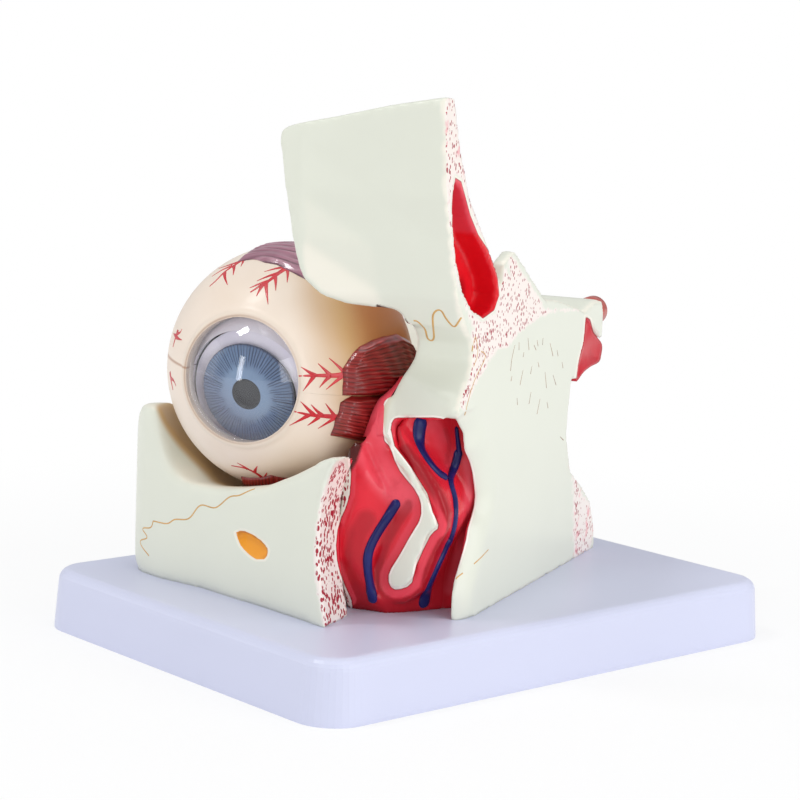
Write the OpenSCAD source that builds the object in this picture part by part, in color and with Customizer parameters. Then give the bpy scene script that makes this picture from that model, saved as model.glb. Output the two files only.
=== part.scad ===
// Eye anatomy model, three times life size: an eyeball that comes apart, seated in a cut
// section of the bony orbit with half of the nose, on a flat rectangular base.
// Origin: centre of the base's underside. X to the right, Y to the back, Z up.
// The skull section stands turned on the base. In its own frame x runs to the midline cut,
// y to the back of the head and z up. Outlines are shares of the named sizes beside them.

/* [Base] */
// Width of the base, left to right
base_w = 135; // [126:1:160]
// Length of the base, front to back
base_l = 180; // [170:1:210]
// Height of the base
base_h = 18; // [14:0.5:26]
// Plan radius of the base's corners
base_corner_r = 12; // [7:0.5:20]
// Rounding of the base's top edge
base_edge_r = 3.4; // [1.5:0.1:5]
// Height of the upright foot under the base's leaning sides
base_foot_h = 1; // [0.5:0.1:3]
// How far each side of the base leans in from bottom to top
base_lean = 1.1; // [0.2:0.1:2]
// Wall of the hollow base
base_wall = 2.6; // [2:0.1:3.5]

/* [Fixing screws] */
// Shank diameter of the screws that hold the skull section
screw_d = 4; // [3:0.1:5]
// How far each screw reaches into the bone
screw_bite = 12; // [8:0.5:14]
// Head diameter of the screws
screw_head_d = 7.6; // [6.5:0.1:10]
// Head height of the screws
screw_head_h = 2.6; // [1.8:0.1:3.5]
// Diameter of the washers under the screw heads
washer_d = 12; // [11:0.5:16]
// Thickness of the washers
washer_t = 1; // [0.6:0.1:1.6]

/* [Skull section] */
// Turn of the skull section on the base, in degrees
head_turn = 25; // [20:1:30]
// Length of the section from the brow to the back
section_l = 145; // [140:0.5:150]
// Height of the section above the base
section_h = 145.6; // [143:0.1:150]
// Distance from the section's centre line to the midline cut face
cut_x = 36; // [35:0.1:38]
// Thickness of the nasal septum
septum_t = 4.2; // [3:0.1:6]
// Width of the frontal bone from the midline cut to its outer edge
brow_w = 50; // [48:0.5:52]
// Distance from the section's centre line to where the inner blocks begin
block_x = 5; // [3:0.5:6]
// Distance from the section's centre line to where the nose's red wall begins
wall_x = 1; // [0.5:0.5:3]
// Depth of the frontal sinus and the sphenoid sinus behind the cut face
sinus_depth = 9; // [5:0.5:14]
// Thickness of the coloured lining on each sinus floor
lining_t = 2; // [1:0.1:3]
// Depth of the cream cut edge on the turbinate
strip_t = 2; // [1:0.1:4]
// Diameter of the vessel stub at the back
stub_d = 8.4; // [6:0.2:10]
// How far the vessel stub stands out at the back
stub_out = 4.6; // [2:0.1:8]

/* [Maxilla] */
// Width of the maxilla's front outline
maxilla_w = 96; // [94:0.5:98]
// Height of the maxilla above the base
maxilla_h = 51.2; // [48:0.2:56]
// Distance of the maxilla's front face in front of the base's centre
maxilla_front = 66.5; // [65:0.5:70]

/* [Orbit] */
// Distance of the eyeball's centre from the section's centre line
eye_side = 28.2; // [27:0.1:30]
// Distance of the eyeball's centre in front of the section's middle
eye_front = 31.8; // [30:0.1:33]
// Height of the eyeball's centre above the base
eye_up = 64; // [62:0.2:68]
// Clearance between the eyeball's lower muscle and the floor of the orbit
orbit_gap = 0.4; // [0.3:0.05:0.8]
// Further room between the muscles and the orbit's sides
orbit_room = 2.6; // [1:0.1:3]
// How much wider than the orbit the bony margin by the nose stands
margin_out = 1.6; // [1:0.1:4]
// How much wider than the orbit the brow stands, so that the eyeball lifts straight out
brow_out = 2.5; // [1.5:0.1:4]

/* [Eyeball] */
// Diameter of the eyeball, three times a 24 mm human eye
eye_d = 72; // [68:0.5:73]
// Wall of the sclera shell
sclera_t = 3.6; // [3:0.1:4.2]
// Roll of the seam between the eyeball's halves about the optical axis, in degrees
seam_roll = 5.7; // [0:0.1:8]
// Gap between the eyeball's halves
seam_gap = 0.3; // [0.2:0.05:0.5]
// Gap between the sclera and the choroid
shell_gap = 0.4; // [0.3:0.05:0.6]
// Wall of the choroid shell
choroid_t = 2; // [1.5:0.1:2.4]
// Gap between the choroid and the vitreous body
vitreous_gap = 0.5; // [0.4:0.05:0.7]
// Diameter of the locating pins in the seam
pin_d = 1.6; // [1.2:0.1:1.8]
// Length of the locating pins
pin_l = 5; // [4:0.5:8]

/* [Cornea, iris and lens] */
// Diameter of the cornea's opening in the sclera
cornea_d = 36; // [34:0.2:37]
// How far the cornea's top stands in front of its opening
cornea_rise = 8.5; // [7:0.1:9.5]
// Wall of the cornea
cornea_t = 1.6; // [1.2:0.1:2]
// Depth of the cornea's skirt in its seat
cornea_seat = 2; // [1.5:0.1:2.2]
// Diameter of the iris
iris_d = 30.2; // [28:0.1:31]
// Diameter of the pupil
pupil_d = 9.2; // [6:0.1:12]
// Thickness of the iris at the pupil
iris_t = 1.7; // [1.4:0.1:2.2]
// How much the iris is domed
iris_dome = 1; // [0.6:0.1:1.2]
// Distance of the iris from the eyeball's centre
iris_depth = 23; // [22:0.1:23.5]
// Tilt of the iris and lens below the optical axis, in degrees
iris_drop = 12; // [8:0.5:13]
// Diameter of the lens
lens_d = 26.6; // [24:0.1:27.6]
// Height of the lens's front face
lens_front_h = 4; // [3:0.1:4.4]
// Height of the lens's back face
lens_back_h = 7.5; // [6:0.1:8.5]
// Distance of the lens's edge from the eyeball's centre
lens_depth = 16.6; // [16:0.1:17]
// Outer diameter of the ciliary ring that carries the lens and the iris
ciliary_d = 37.6; // [36.4:0.1:37.8]

/* [Muscles and nerve] */
// Thickness of the rectus muscles
muscle_t = 2.2; // [1.6:0.1:3]
// Width of the rectus muscles at their front edge
muscle_w = 28; // [24:0.5:30]
// Diameter of the optic nerve
nerve_d = 12; // [10:0.2:13]
// Length of the optic nerve behind the eyeball
nerve_l = 20; // [14:0.5:22]
// Turn of the optic nerve towards the nose, in degrees
nerve_turn = 18; // [12:1:20]
// Drop of the optic nerve below the seam, in degrees
nerve_drop = 12; // [11:0.5:14]

/* [Hidden] */
// overrun of every cut past the face that it opens
over = 1;
// clearance of a screw in the base and of its thread in the bone
screw_gap = 0.25;
thread_gap = 0.05;
// clearance of the cornea in its seat and of the lens in its ring
seat_gap = 0.2;
// clearance of a locating pin in its holes
pin_gap = 0.15;
// gap under a muscle, and between faces that rest on each other
muscle_gap = 0.3;
rest_gap = 0.1;
$fn = 96;

eye_r = eye_d / 2;
sclera_in_r = eye_r - sclera_t;
choroid_r = sclera_in_r - shell_gap;
choroid_in_r = choroid_r - choroid_t;
vitreous_r = choroid_in_r - vitreous_gap;
muscle_in_r = eye_r + muscle_gap;
muscle_r = muscle_in_r + muscle_t;
orbit_r = muscle_r + orbit_gap + orbit_room;
limbus_r = cornea_d / 2;
cornea_r = limbus_r - seat_gap;
// plane of the limbus, and the cornea's dome from its rise over its base
limbus_y = sqrt(pow(eye_r, 2) - pow(limbus_r, 2));
cornea_dome_r = (pow(cornea_r, 2) + pow(cornea_rise, 2)) / (2 * cornea_rise);
iris_r = iris_d / 2;
lens_r = lens_d / 2;
lens_front_r = (pow(lens_r, 2) + pow(lens_front_h, 2)) / (2 * lens_front_h);
lens_back_r = (pow(lens_r, 2) + pow(lens_back_h, 2)) / (2 * lens_back_h);
ciliary_r = ciliary_d / 2;
nerve_r = nerve_d / 2;
septum_x = cut_x - septum_t;
// the sight hole behind the cornea is smaller than its seat by the cornea's wall
sight_r = cornea_r - cornea_t;
clear_h = section_h + over;

// Screw places: x as a share of cut_x, distance to the front as a share of section_l
screw_spot_share = [[-0.85, 0.26], [0.56, 0], [0.53, -0.35]];

// Side outlines: distance to the front as a share of section_l, height as a share of section_h.
// The frontal bone's front and back edges at one set of heights, at four places from the
// midline cut outwards, which are shares of brow_w.
frontal_height_share = [0.570, 0.630, 0.725, 0.817, 0.907, 1];
frontal_place_share = [0, 0.44, 0.84, 1];
frontal_front_share = [
    [0.390, 0.439, 0.479, 0.514, 0.530, 0.546],
    [0.407, 0.455, 0.493, 0.517, 0.531, 0.545],
    [0.490, 0.507, 0.519, 0.526, 0.531, 0.538],
    [0.476, 0.493, 0.507, 0.514, 0.517, 0.521]];
frontal_back_share = [0.207, 0.207, 0.303, 0.405, 0.460, 0.498];
// Front outline of the frontal bone: distance from the cut as a share of brow_w, and height
frontal_face_share = [
    [-0.02, 0.570], [0.345, 0.570], [0.35, 0.588], [0.38, 0.600], [0.44, 0.602], [0.54, 0.603],
    [0.63, 0.606], [0.74, 0.620], [0.83, 0.651], [0.865, 0.683], [0.90, 0.735], [0.95, 0.833],
    [0.985, 0.903], [0.98, 0.922], [0.94, 0.933], [0.84, 0.941], [0.62, 0.957], [0.32, 0.981],
    [-0.02, 1.002]];
frontal_sinus_share = [
    [0.484, 0.850], [0.456, 0.837], [0.424, 0.810], [0.402, 0.780], [0.358, 0.740],
    [0.306, 0.706], [0.253, 0.658], [0.236, 0.622], [0.254, 0.598], [0.306, 0.588],
    [0.366, 0.605], [0.421, 0.647], [0.458, 0.705], [0.479, 0.761], [0.489, 0.806]];
// The nasal bone under the frontal bone, and its process beside the orbit
nasal_bone_share = [
    [0.390, 0.570], [0.352, 0.538], [0.347, 0.508], [0.360, 0.482], [0.392, 0.448],
    [0.413, 0.419], [0.409, 0.402], [0.207, 0.398], [0.207, 0.570]];
nasal_process_share = [
    [0.25, 0.410], [0.50, 0.410], [0.43, 0.385], [0.385, 0.362], [0.40, 0.345], [0.43, 0.327],
    [0.345, 0.327], [0.29, 0.357], [0.26, 0.380]];
nasal_process_depth_share = [0.300, 0.372];
// Front outline of both, with the edge of the orbit on the left
nasal_face_share = [
    [0.25, 0.320], [0.25, 0.385], [0.333, 0.418], [0.397, 0.448], [0.450, 0.468],
    [0.503, 0.499], [0.525, 0.527], [0.545, 0.580], [1.1, 0.580], [1.1, 0.320]];
// its plan: the front face runs back towards the orbit
nasal_plan_share = [
    [0.10, 0.200], [0.10, 0.338], [0.28, 0.345], [0.39, 0.362], [0.52, 0.374], [0.67, 0.386],
    [0.85, 0.400], [1.00, 0.425], [1.10, 0.425], [1.10, 0.200]];
// The septum with the crista galli on top, and the ethmoid block beside it
septum_share = [
    [0.334, 0], [0.335, 0.049], [0.323, 0.082], [0.300, 0.110], [0.283, 0.148], [0.270, 0.177],
    [0.241, 0.200], [0.234, 0.227], [0.256, 0.275], [0.275, 0.302], [0.304, 0.326],
    [0.314, 0.361], [0.342, 0.383], [0.359, 0.398], [0.207, 0.398], [0.207, 0.570],
    [0.207, 0.682], [0.149, 0.703], [0.055, 0.648], [-0.041, 0.593], [-0.135, 0.582],
    [-0.255, 0.556], [-0.221, 0.290], [-0.259, 0.205], [-0.330, 0]];
ethmoid_share = [
    [0.207, 0], [0.207, 0.570], [-0.041, 0.578], [-0.135, 0.574], [-0.255, 0.556],
    [-0.221, 0.290], [-0.259, 0.205], [-0.330, 0]];
sphenoid_share = [
    [-0.2555, 0.556], [-0.303, 0.543], [-0.372, 0.560], [-0.414, 0.560], [-0.431, 0.529],
    [-0.428, 0.421], [-0.266, 0.398], [-0.2365, 0.405]];
sphenoid_sinus_share = [
    [-0.311, 0.532], [-0.440, 0.462], [-0.440, 0.410], [-0.272, 0.405], [-0.281, 0.439],
    [-0.306, 0.474]];
pterygoid_share = [
    [-0.2595, 0.205], [-0.335, 0.163], [-0.408, 0.115], [-0.440, 0.060], [-0.453, 0.016],
    [-0.453, 0], [-0.3305, 0]];
// height of the vessel stub's axis, and its distance from the section's centre line
stub_height_share = 0.520;
stub_place_share = 0.83;

// The red wall of the nose: side outline, then plan outline with x as a share of cut_x
wall_side_share = [
    [0.207, 0], [0.207, 0.402], [0.341, 0.402], [0.359, 0.367], [0.370, 0.339],
    [0.379, 0.310], [0.395, 0.285], [0.402, 0.250], [0.400, 0.220], [0.410, 0.170],
    [0.410, 0.115], [0.385, 0.060], [0.352, 0]];
wall_plan_share = [
    [0.02, 0.207], [0.02, 0.410], [0.15, 0.406], [0.25, 0.388], [0.36, 0.356], [0.47, 0.334],
    [0.58, 0.303], [0.72, 0.252], [0.90, 0.231], [0.90, 0.207]];
// The turbinate and its cream cut edge, as seen from the front
turbinate_share = [
    [0, 0.405], [0, 0.345], [0.14, 0.326], [0.22, 0.289], [0.36, 0.234], [0.42, 0.193], [0.34, 0.138], [0.26, 0.090],
    [0.27, 0.048], [0.37, 0.025], [0.51, 0.021], [0.65, 0.048], [0.72, 0.090], [0.76, 0.131],
    [0.84, 0.172], [0.86, 0.207], [0.79, 0.248], [0.68, 0.290], [0.54, 0.331], [0.42, 0.372],
    [0.33, 0.380], [0.33, 0.405]];
strip_share = [
    [0.345, 0.327], [0.411, 0.302], [0.500, 0.285], [0.556, 0.262],
    [0.631, 0.237], [0.647, 0.205], [0.575, 0.168], [0.494, 0.128], [0.414, 0.098],
    [0.392, 0.069], [0.422, 0.054], [0.492, 0.052], [0.558, 0.063], [0.617, 0.085],
    [0.636, 0.117], [0.681, 0.143], [0.711, 0.168], [0.794, 0.187], [0.756, 0.213],
    [0.678, 0.246], [0.606, 0.272], [0.533, 0.302], [0.458, 0.324], [0.430, 0.327]];
turbinate_depth_share = [0.207, 0.355];

// The maxilla: front outline, x as a share of maxilla_w and height as a share of maxilla_h
maxilla_face_share = [
    [-0.490, 0], [-0.530, 0.043], [-0.568, 0.271], [-0.570, 0.570], [-0.553, 0.814],
    [-0.515, 0.940], [-0.483, 0.990], [-0.451, 1], [-0.422, 0.998], [-0.399, 0.967],
    [-0.369, 0.801], [-0.345, 0.710], [-0.314, 0.643], [-0.275, 0.607], [-0.236, 0.598],
    [-0.136, 0.607], [-0.015, 0.641], [0.089, 0.680], [0.216, 0.781], [0.347, 0.902],
    [0.396, 0.937], [0.455, 0.936], [0.48, 0.900], [0.52, 0.500], [0.52, 0]];
// its plan, x as a share of maxilla_w and y as a share of maxilla_front
maxilla_plan_share = [
    [-0.500, -1.041], [-0.440, -1.062], [-0.340, -1.055], [-0.200, -1.016], [0.090, -1.001],
    [0.520, -1.001], [0.520, -0.611], [0.052, 0.076], [-0.210, 0.916], [-0.330, 0.807],
    [-0.440, 0.502], [-0.540, 0.109], [-0.585, -0.283], [-0.600, -0.589], [-0.599, -0.800],
    [-0.580, -0.925], [-0.548, -0.993]];
// its side outline behind the front wall, y as a share of section_l and height of section_h
maxilla_back_share = [
    [-0.262, 0], [-0.262, 0.350], [-0.103, 0.357], [0.069, 0.426], [0.276, 0.529],
    [0.428, 0.543], [0.428, 0]];
// its midline side, x as a share of cut_x and height as a share of maxilla_h
maxilla_cut_share = [
    [0.195, -0.1], [0.106, 0.200], [0.067, 0.360], [0.064, 0.637], [0.110, 0.780],
    [0.160, 0.870], [0.250, 0.950], [0.250, 1.2], [2, 1.2], [2, -0.1]];
maxilla_cut_front_share = 0.410;

// Outlines of the muscles seen from outside: along the eyeball as a share of its radius,
// across as a share of the muscle's width
muscle_along_share = [-0.64, -0.60, -0.30, 0.10, 0.42, 0.50];
muscle_half_share = [0.46, 0.50, 0.48, 0.44, 0.36, 0.28];
vertical_muscle_along_share = [-0.38, -0.34, -0.10, 0.16, 0.42, 0.50];

// places across the iris where its dome is given, from the edge to the pupil
iris_place_share = [1, 0.85, 0.65, 0.4, 0];
// the lateral muscle starts further back than the others
lateral_muscle_along_share = [0.04, 0.08, 0.26, 0.44, 0.60, 0.68];

// ---- frames and outlines ----

module head() {
    rotate([0, 0, head_turn]) children();
}

module eye_place() {
    translate([-eye_side, -eye_front, base_h + eye_up]) children();
}

module eye() {
    head() eye_place() rotate([0, seam_roll, 0]) children();
}

// frame of the iris and lens, whose axis drops below the optical axis
module iris_frame() {
    rotate([iris_drop, 0, 0]) children();
}

function scaled(shares, w, h) = [for (p = shares) [p[0] * w, p[1] * h]];

// a slab with a side outline, given as distance to the front and height
module side_slab(shares, x_from, x_to) {
    translate([x_from, 0, base_h])
        rotate([90, 0, 90])
            linear_extrude(x_to - x_from)
                polygon(scaled(shares, -section_l, section_h));
}

// a slab with a front outline, from one distance to the front to another
module front_slab(points, front_from, front_to) {
    translate([0, -front_from, base_h])
        rotate([90, 0, 0])
            linear_extrude(front_to - front_from)
                polygon(points);
}

// a ball whose poles lie on the line of sight
module sight_ball(r) {
    rotate([90, 0, 0]) sphere(r);
}

// a solid cylinder along the line of sight, from one distance before the centre to another
module sight_rod(r, y_from, y_to) {
    translate([0, -y_from, 0])
        rotate([90, 0, 0])
            cylinder(h = y_to - y_from, r = r);
}

// ---- base ----

module base_corner(lower_r, upper_r, edge, h) {
    rotate_extrude($fn = 40)
        polygon(concat(
            [[0, 0], [lower_r, 0], [lower_r, base_foot_h]],
            [for (i = [0:5]) [
                upper_r - edge + edge * cos(i * 18),
                h - edge + edge * sin(i * 18)]],
            [[0, h]]));
}

module base_block(side, upper_side, corner, edge, h) {
    hull()
        for (sx = [-1, 1], sy = [-1, 1])
            translate([
                sx * (base_w / 2 - side - corner),
                sy * (base_l / 2 - side - corner),
                0])
                base_corner(corner, corner - upper_side, edge, h);
}

module at_screw(i) {
    head()
        translate([
            screw_spot_share[i][0] * cut_x,
            -screw_spot_share[i][1] * section_l,
            0])
            children();
}

module base_tray() {
    color([0.88, 0.88, 0.96])
        difference() {
            base_block(0, base_lean, base_corner_r, base_edge_r, base_h);
            translate([0, 0, -base_foot_h])
                base_block(
                    base_wall, base_lean, base_corner_r - base_wall,
                    base_edge_r / 2, base_h - base_wall + base_foot_h);
            for (i = [0:2])
                at_screw(i)
                    translate([0, 0, base_h - base_wall - over])
                        cylinder(h = base_wall + 2 * over, r = screw_d / 2 + screw_gap);
        }
}

module base_screw(i) {
    color("silver")
        at_screw(i) {
            translate([0, 0, base_h - base_wall - washer_t])
                cylinder(h = base_wall + washer_t + screw_bite, r = screw_d / 2);
            translate([0, 0, base_h - base_wall - washer_t - screw_head_h])
                cylinder(h = screw_head_h, r = screw_head_d / 2);
        }
}

module screw_washer(i) {
    color("lightgrey")
        at_screw(i)
            translate([0, 0, base_h - base_wall - washer_t])
                difference() {
                    cylinder(h = washer_t, r = washer_d / 2);
                    translate([0, 0, -over])
                        cylinder(h = washer_t + 2 * over, r = screw_d / 2 + screw_gap);
                }
}

module base_screw_front() { base_screw(0); }
module base_screw_middle() { base_screw(1); }
module base_screw_back() { base_screw(2); }
module screw_washer_front() { screw_washer(0); }
module screw_washer_middle() { screw_washer(1); }
module screw_washer_back() { screw_washer(2); }

module screw_holes() {
    for (i = [0:2])
        at_screw(i)
            translate([0, 0, base_h - over])
                cylinder(h = screw_bite + 2 * over, r = screw_d / 2 + thread_gap);
}

// ---- the space that the eyeball and its nerve need, open straight up ----

module orbit_space(extra) {
    eye_place() {
        translate([0, 0, orbit_room]) {
            sphere(orbit_r + extra);
            cylinder(h = clear_h, r = orbit_r + extra + rest_gap);
        }
        nerve_space(extra);
    }
}

module nerve_space(extra) {
    space_r = nerve_r + 5 * orbit_gap + extra;
    reach = eye_r + nerve_l + over;
    rotate([0, seam_roll, 0])
        nerve_frame()
            cylinder(h = reach, r = space_r);
    rotate([0, 0, -nerve_turn])
        translate([-space_r, 0, -reach * sin(nerve_drop)])
            cube([2 * space_r, reach, clear_h]);
}

// ---- skull section ----

module frontal_body() {
    n = len(frontal_height_share);
    rings = [for (k = [0:len(frontal_place_share) - 1]) concat(
        [for (i = [0:n - 1]) [
            cut_x - frontal_place_share[k] * brow_w,
            -frontal_front_share[k][i] * section_l,
            base_h + frontal_height_share[i] * section_h]],
        [for (i = [n - 1:-1:0]) [
            cut_x - frontal_place_share[k] * brow_w,
            -frontal_back_share[i] * section_l,
            base_h + frontal_height_share[i] * section_h]])];
    m = 2 * n;
    last = len(rings) - 1;
    polyhedron(
        points = [for (ring = rings) for (p = ring) p],
        faces = concat(
            [for (i = [0:n - 2]) each [
                [i, i + 1, m - 2 - i], [i, m - 2 - i, m - 1 - i]]],
            [for (k = [0:last - 1]) for (i = [0:m - 1]) each [
                [k * m + i, (k + 1) * m + i, (k + 1) * m + (i + 1) % m],
                [k * m + i, (k + 1) * m + (i + 1) % m, k * m + (i + 1) % m]]],
            [for (i = [0:n - 2]) each [
                [last * m + i, last * m + m - 2 - i, last * m + i + 1],
                [last * m + i, last * m + m - 1 - i, last * m + m - 2 - i]]]));
}

module frontal_bone() {
    color([0.90, 0.90, 0.84])
        head()
            difference() {
                intersection() {
                    frontal_body();
                    front_slab(
                        [for (p = frontal_face_share) [
                            cut_x - p[0] * brow_w, p[1] * section_h]],
                        0, section_l);
                }
                orbit_space(brow_out);
                side_slab(frontal_sinus_share, cut_x - sinus_depth, cut_x + over);
            }
}

module frontal_sinus_lining() {
    color([0.80, 0.05, 0.12])
        head()
            side_slab(
                frontal_sinus_share, cut_x - sinus_depth, cut_x - sinus_depth + lining_t);
}

module nasal_process() {
    front_slab(
        scaled(nasal_process_share, cut_x, section_h),
        nasal_process_depth_share[0] * section_l,
        nasal_process_depth_share[1] * section_l);
}

module nasal_bone_body() {
    difference() {
        intersection() {
            union() {
                side_slab(nasal_bone_share, 2 * block_x, cut_x);
                nasal_process();
            }
            front_slab(scaled(nasal_face_share, cut_x, section_h), 0, section_l);
            translate([0, 0, base_h])
                linear_extrude(section_h)
                    polygon(scaled(nasal_plan_share, cut_x, -section_l));
        }
        orbit_space(margin_out);
    }
}

module nasal_bone() {
    color([0.91, 0.91, 0.85])
        head() nasal_bone_body();
}

module nasal_septum() {
    color([0.93, 0.93, 0.88])
        head()
            side_slab(septum_share, septum_x, cut_x);
}

module ethmoid_block() {
    color([0.88, 0.87, 0.80])
        difference() {
            head()
                difference() {
                    side_slab(ethmoid_share, block_x, septum_x);
                    orbit_space(orbit_gap);
                }
            screw_holes();
        }
}

module sphenoid_block() {
    color([0.90, 0.89, 0.82])
        head()
            difference() {
                side_slab(sphenoid_share, block_x, cut_x);
                side_slab(sphenoid_sinus_share, cut_x - sinus_depth, cut_x + over);
                vessel_bore();
            }
}

module sphenoid_sinus_lining() {
    color([0.80, 0.05, 0.12])
        head()
            difference() {
                intersection() {
                    side_slab(
                        sphenoid_sinus_share,
                        cut_x - sinus_depth, cut_x - sinus_depth + lining_t);
                    side_slab(sphenoid_share, block_x, cut_x);
                }
                vessel_bore();
            }
}

module pterygoid_block() {
    color([0.92, 0.72, 0.72])
        difference() {
            head() side_slab(pterygoid_share, block_x, cut_x);
            screw_holes();
        }
}

// axis of the vessel stub, from inside the sphenoid block out through its back
module vessel_rod(r, from_share, out) {
    translate([
        stub_place_share * cut_x,
        -from_share * section_l,
        base_h + stub_height_share * section_h])
        rotate([-90, 0, 0])
            cylinder(h = out, r = r);
}

module vessel_bore() {
    vessel_rod(stub_d / 2 + thread_gap, sphenoid_share[2][0], section_l);
}

module vessel_stub() {
    block_back = (sphenoid_share[2][0] - sphenoid_share[4][0]) * section_l;
    stub_l = block_back + stub_out - stub_d / 2;
    color([0.55, 0.18, 0.12])
        head() {
            vessel_rod(stub_d / 2, sphenoid_share[2][0], stub_l);
            translate([
                stub_place_share * cut_x,
                -sphenoid_share[2][0] * section_l + stub_l,
                base_h + stub_height_share * section_h])
                sphere(stub_d / 2);
        }
}

module turbinate_body(from_share, to_share) {
    front_slab(
        scaled(turbinate_share, cut_x, section_h),
        from_share * section_l, to_share * section_l);
}

module nasal_turbinate() {
    color([0.88, 0.20, 0.25])
        head()
            difference() {
                turbinate_body(turbinate_depth_share[0], turbinate_depth_share[1]);
                orbit_space(orbit_gap);
                nasal_bone_body();
            }
}

module turbinate_cut_edge() {
    color([0.92, 0.92, 0.86])
        head()
            difference() {
                front_slab(
                    scaled(strip_share, cut_x, section_h),
                    turbinate_depth_share[1] * section_l,
                    turbinate_depth_share[1] * section_l + strip_t);
                nasal_bone_body();
            }
}

module nasal_wall() {
    color([0.85, 0.10, 0.18])
        head()
            difference() {
                intersection() {
                    side_slab(wall_side_share, wall_x, septum_x);
                    translate([0, 0, base_h])
                        linear_extrude(clear_h)
                            polygon(scaled(wall_plan_share, cut_x, -section_l));
                }
                orbit_space(orbit_gap);
                nasal_bone_body();
                turbinate_body(turbinate_depth_share[0] - over / section_l, 1);
            }
}

module maxilla() {
    color([0.89, 0.90, 0.84])
        difference() {
            intersection() {
                translate([0, 0, base_h])
                    linear_extrude(clear_h)
                        polygon(scaled(maxilla_plan_share, maxilla_w, maxilla_front));
                union() {
                    front_slab(
                        scaled(maxilla_face_share, maxilla_w, maxilla_h),
                        -maxilla_back_share[0][0] * section_l, section_l);
                    translate([-section_l, 0, base_h])
                        rotate([90, 0, 90])
                            linear_extrude(2 * section_l)
                                polygon(scaled(maxilla_back_share, section_l, section_h));
                }
            }
            head() {
                orbit_space(0);
                translate([
                    block_x, -maxilla_cut_front_share * section_l, base_h - over])
                    cube([section_l, section_l, clear_h]);
                translate([
                    wall_x, -maxilla_cut_front_share * section_l, base_h - over])
                    cube([
                        cut_x,
                        (maxilla_cut_front_share - wall_side_share[0][0]) * section_l,
                        clear_h]);
                front_slab(
                    scaled(maxilla_cut_share, cut_x, maxilla_h),
                    maxilla_cut_front_share * section_l - over, section_l);
            }
            screw_holes();
        }
}

// ---- eyeball ----

module upper_half(gap) {
    translate([-eye_d, -eye_d, gap / 2]) cube([2 * eye_d, 2 * eye_d, eye_d]);
}

module lower_half(gap) {
    translate([-eye_d, -eye_d, -eye_d - gap / 2]) cube([2 * eye_d, 2 * eye_d, eye_d]);
}

// place of each locating pin in the shell's wall, upright like the lift
module at_pin(side) {
    translate([side * (sclera_in_r + sclera_t / 2), 0, 0])
        rotate([0, -seam_roll, 0])
            children();
}

module pin_holes() {
    for (side = [-1, 1])
        at_pin(side)
            translate([0, 0, -pin_l / 2 - pin_gap])
                cylinder(h = pin_l + 2 * pin_gap, r = pin_d / 2 + pin_gap, $fn = 24);
}

module seam_pin(side) {
    color("gainsboro")
        eye()
            at_pin(side)
                translate([0, 0, -pin_l / 2])
                    cylinder(h = pin_l, r = pin_d / 2, $fn = 24);
}

module seam_pin_inner() { seam_pin(1); }
module seam_pin_outer() { seam_pin(-1); }

module sclera_shell() {
    difference() {
        sphere(eye_r);
        sphere(sclera_in_r);
        sight_rod(sight_r, 0, eye_d);
        sight_rod(limbus_r, limbus_y - cornea_seat, eye_d);
        pin_holes();
    }
}

// direction of the optic nerve, from the eyeball's centre backwards
module nerve_frame() {
    rotate([0, 0, -nerve_turn]) rotate([-nerve_drop, 0, 0]) rotate([-90, 0, 0]) children();
}

module sclera_lower() {
    color([0.95, 0.87, 0.76])
        eye()
            difference() {
                intersection() {
                    sclera_shell();
                    lower_half(seam_gap);
                }
                nerve_frame()
                    cylinder(h = eye_d, r = nerve_r / 2 + rest_gap);
            }
}

module sclera_upper() {
    color([0.95, 0.87, 0.76])
        eye()
            intersection() {
                sclera_shell();
                upper_half(seam_gap);
            }
}

// each half is open in front, where the ciliary ring passes
module choroid_opening() {
    iris_frame() sight_rod(ciliary_r + vitreous_gap, 0, eye_d);
}

module choroid_lower() {
    color([0.55, 0.12, 0.10])
        eye()
            difference() {
                intersection() {
                    sphere(choroid_r);
                    lower_half(seam_gap);
                }
                sphere(choroid_in_r);
                choroid_opening();
            }
}

module choroid_upper() {
    color([0.55, 0.12, 0.10])
        eye()
            difference() {
                intersection() {
                    iris_frame() sight_ball(choroid_r);
                    upper_half(seam_gap);
                }
                iris_frame() sight_ball(choroid_in_r);
                choroid_opening();
            }
}

module vitreous_body() {
    color([0.80, 0.86, 0.90, 0.6])
        eye()
            iris_frame()
                difference() {
                    sight_ball(vitreous_r);
                    sight_rod(vitreous_r, lens_depth - seat_gap, eye_d);
                    lens_back(seat_gap);
                }
}

// the ball that shapes the back of the lens, and its seat in the vitreous body
module lens_back(extra) {
    translate([0, -lens_depth - lens_back_r + lens_back_h, 0])
        sight_ball(lens_back_r + extra);
}

module ciliary_ring() {
    color([0.86, 0.86, 0.95])
        eye()
            iris_frame()
                difference() {
                    sight_rod(ciliary_r, lens_depth - seat_gap, iris_depth);
                    sight_rod(lens_r + seat_gap, lens_depth - seat_gap - over, eye_d);
                }
}

module eye_lens() {
    color([0.85, 0.90, 0.92, 0.5])
        eye()
            iris_frame()
                intersection() {
                    lens_back(0);
                    translate([0, -lens_depth + lens_front_r - lens_front_h, 0])
                        sight_ball(lens_front_r);
                }
}

module iris() {
    color([0.42, 0.52, 0.68])
        eye()
            iris_frame()
                translate([0, -iris_depth - rest_gap, 0])
                    rotate([90, 0, 0])
                        rotate_extrude()
                            polygon(concat(
                                [[pupil_d / 2, 0], [iris_r, 0]],
                                [for (k = iris_place_share) [
                                    pupil_d / 2 + k * (iris_r - pupil_d / 2),
                                    iris_t - iris_dome * k * k]]));
}

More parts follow.
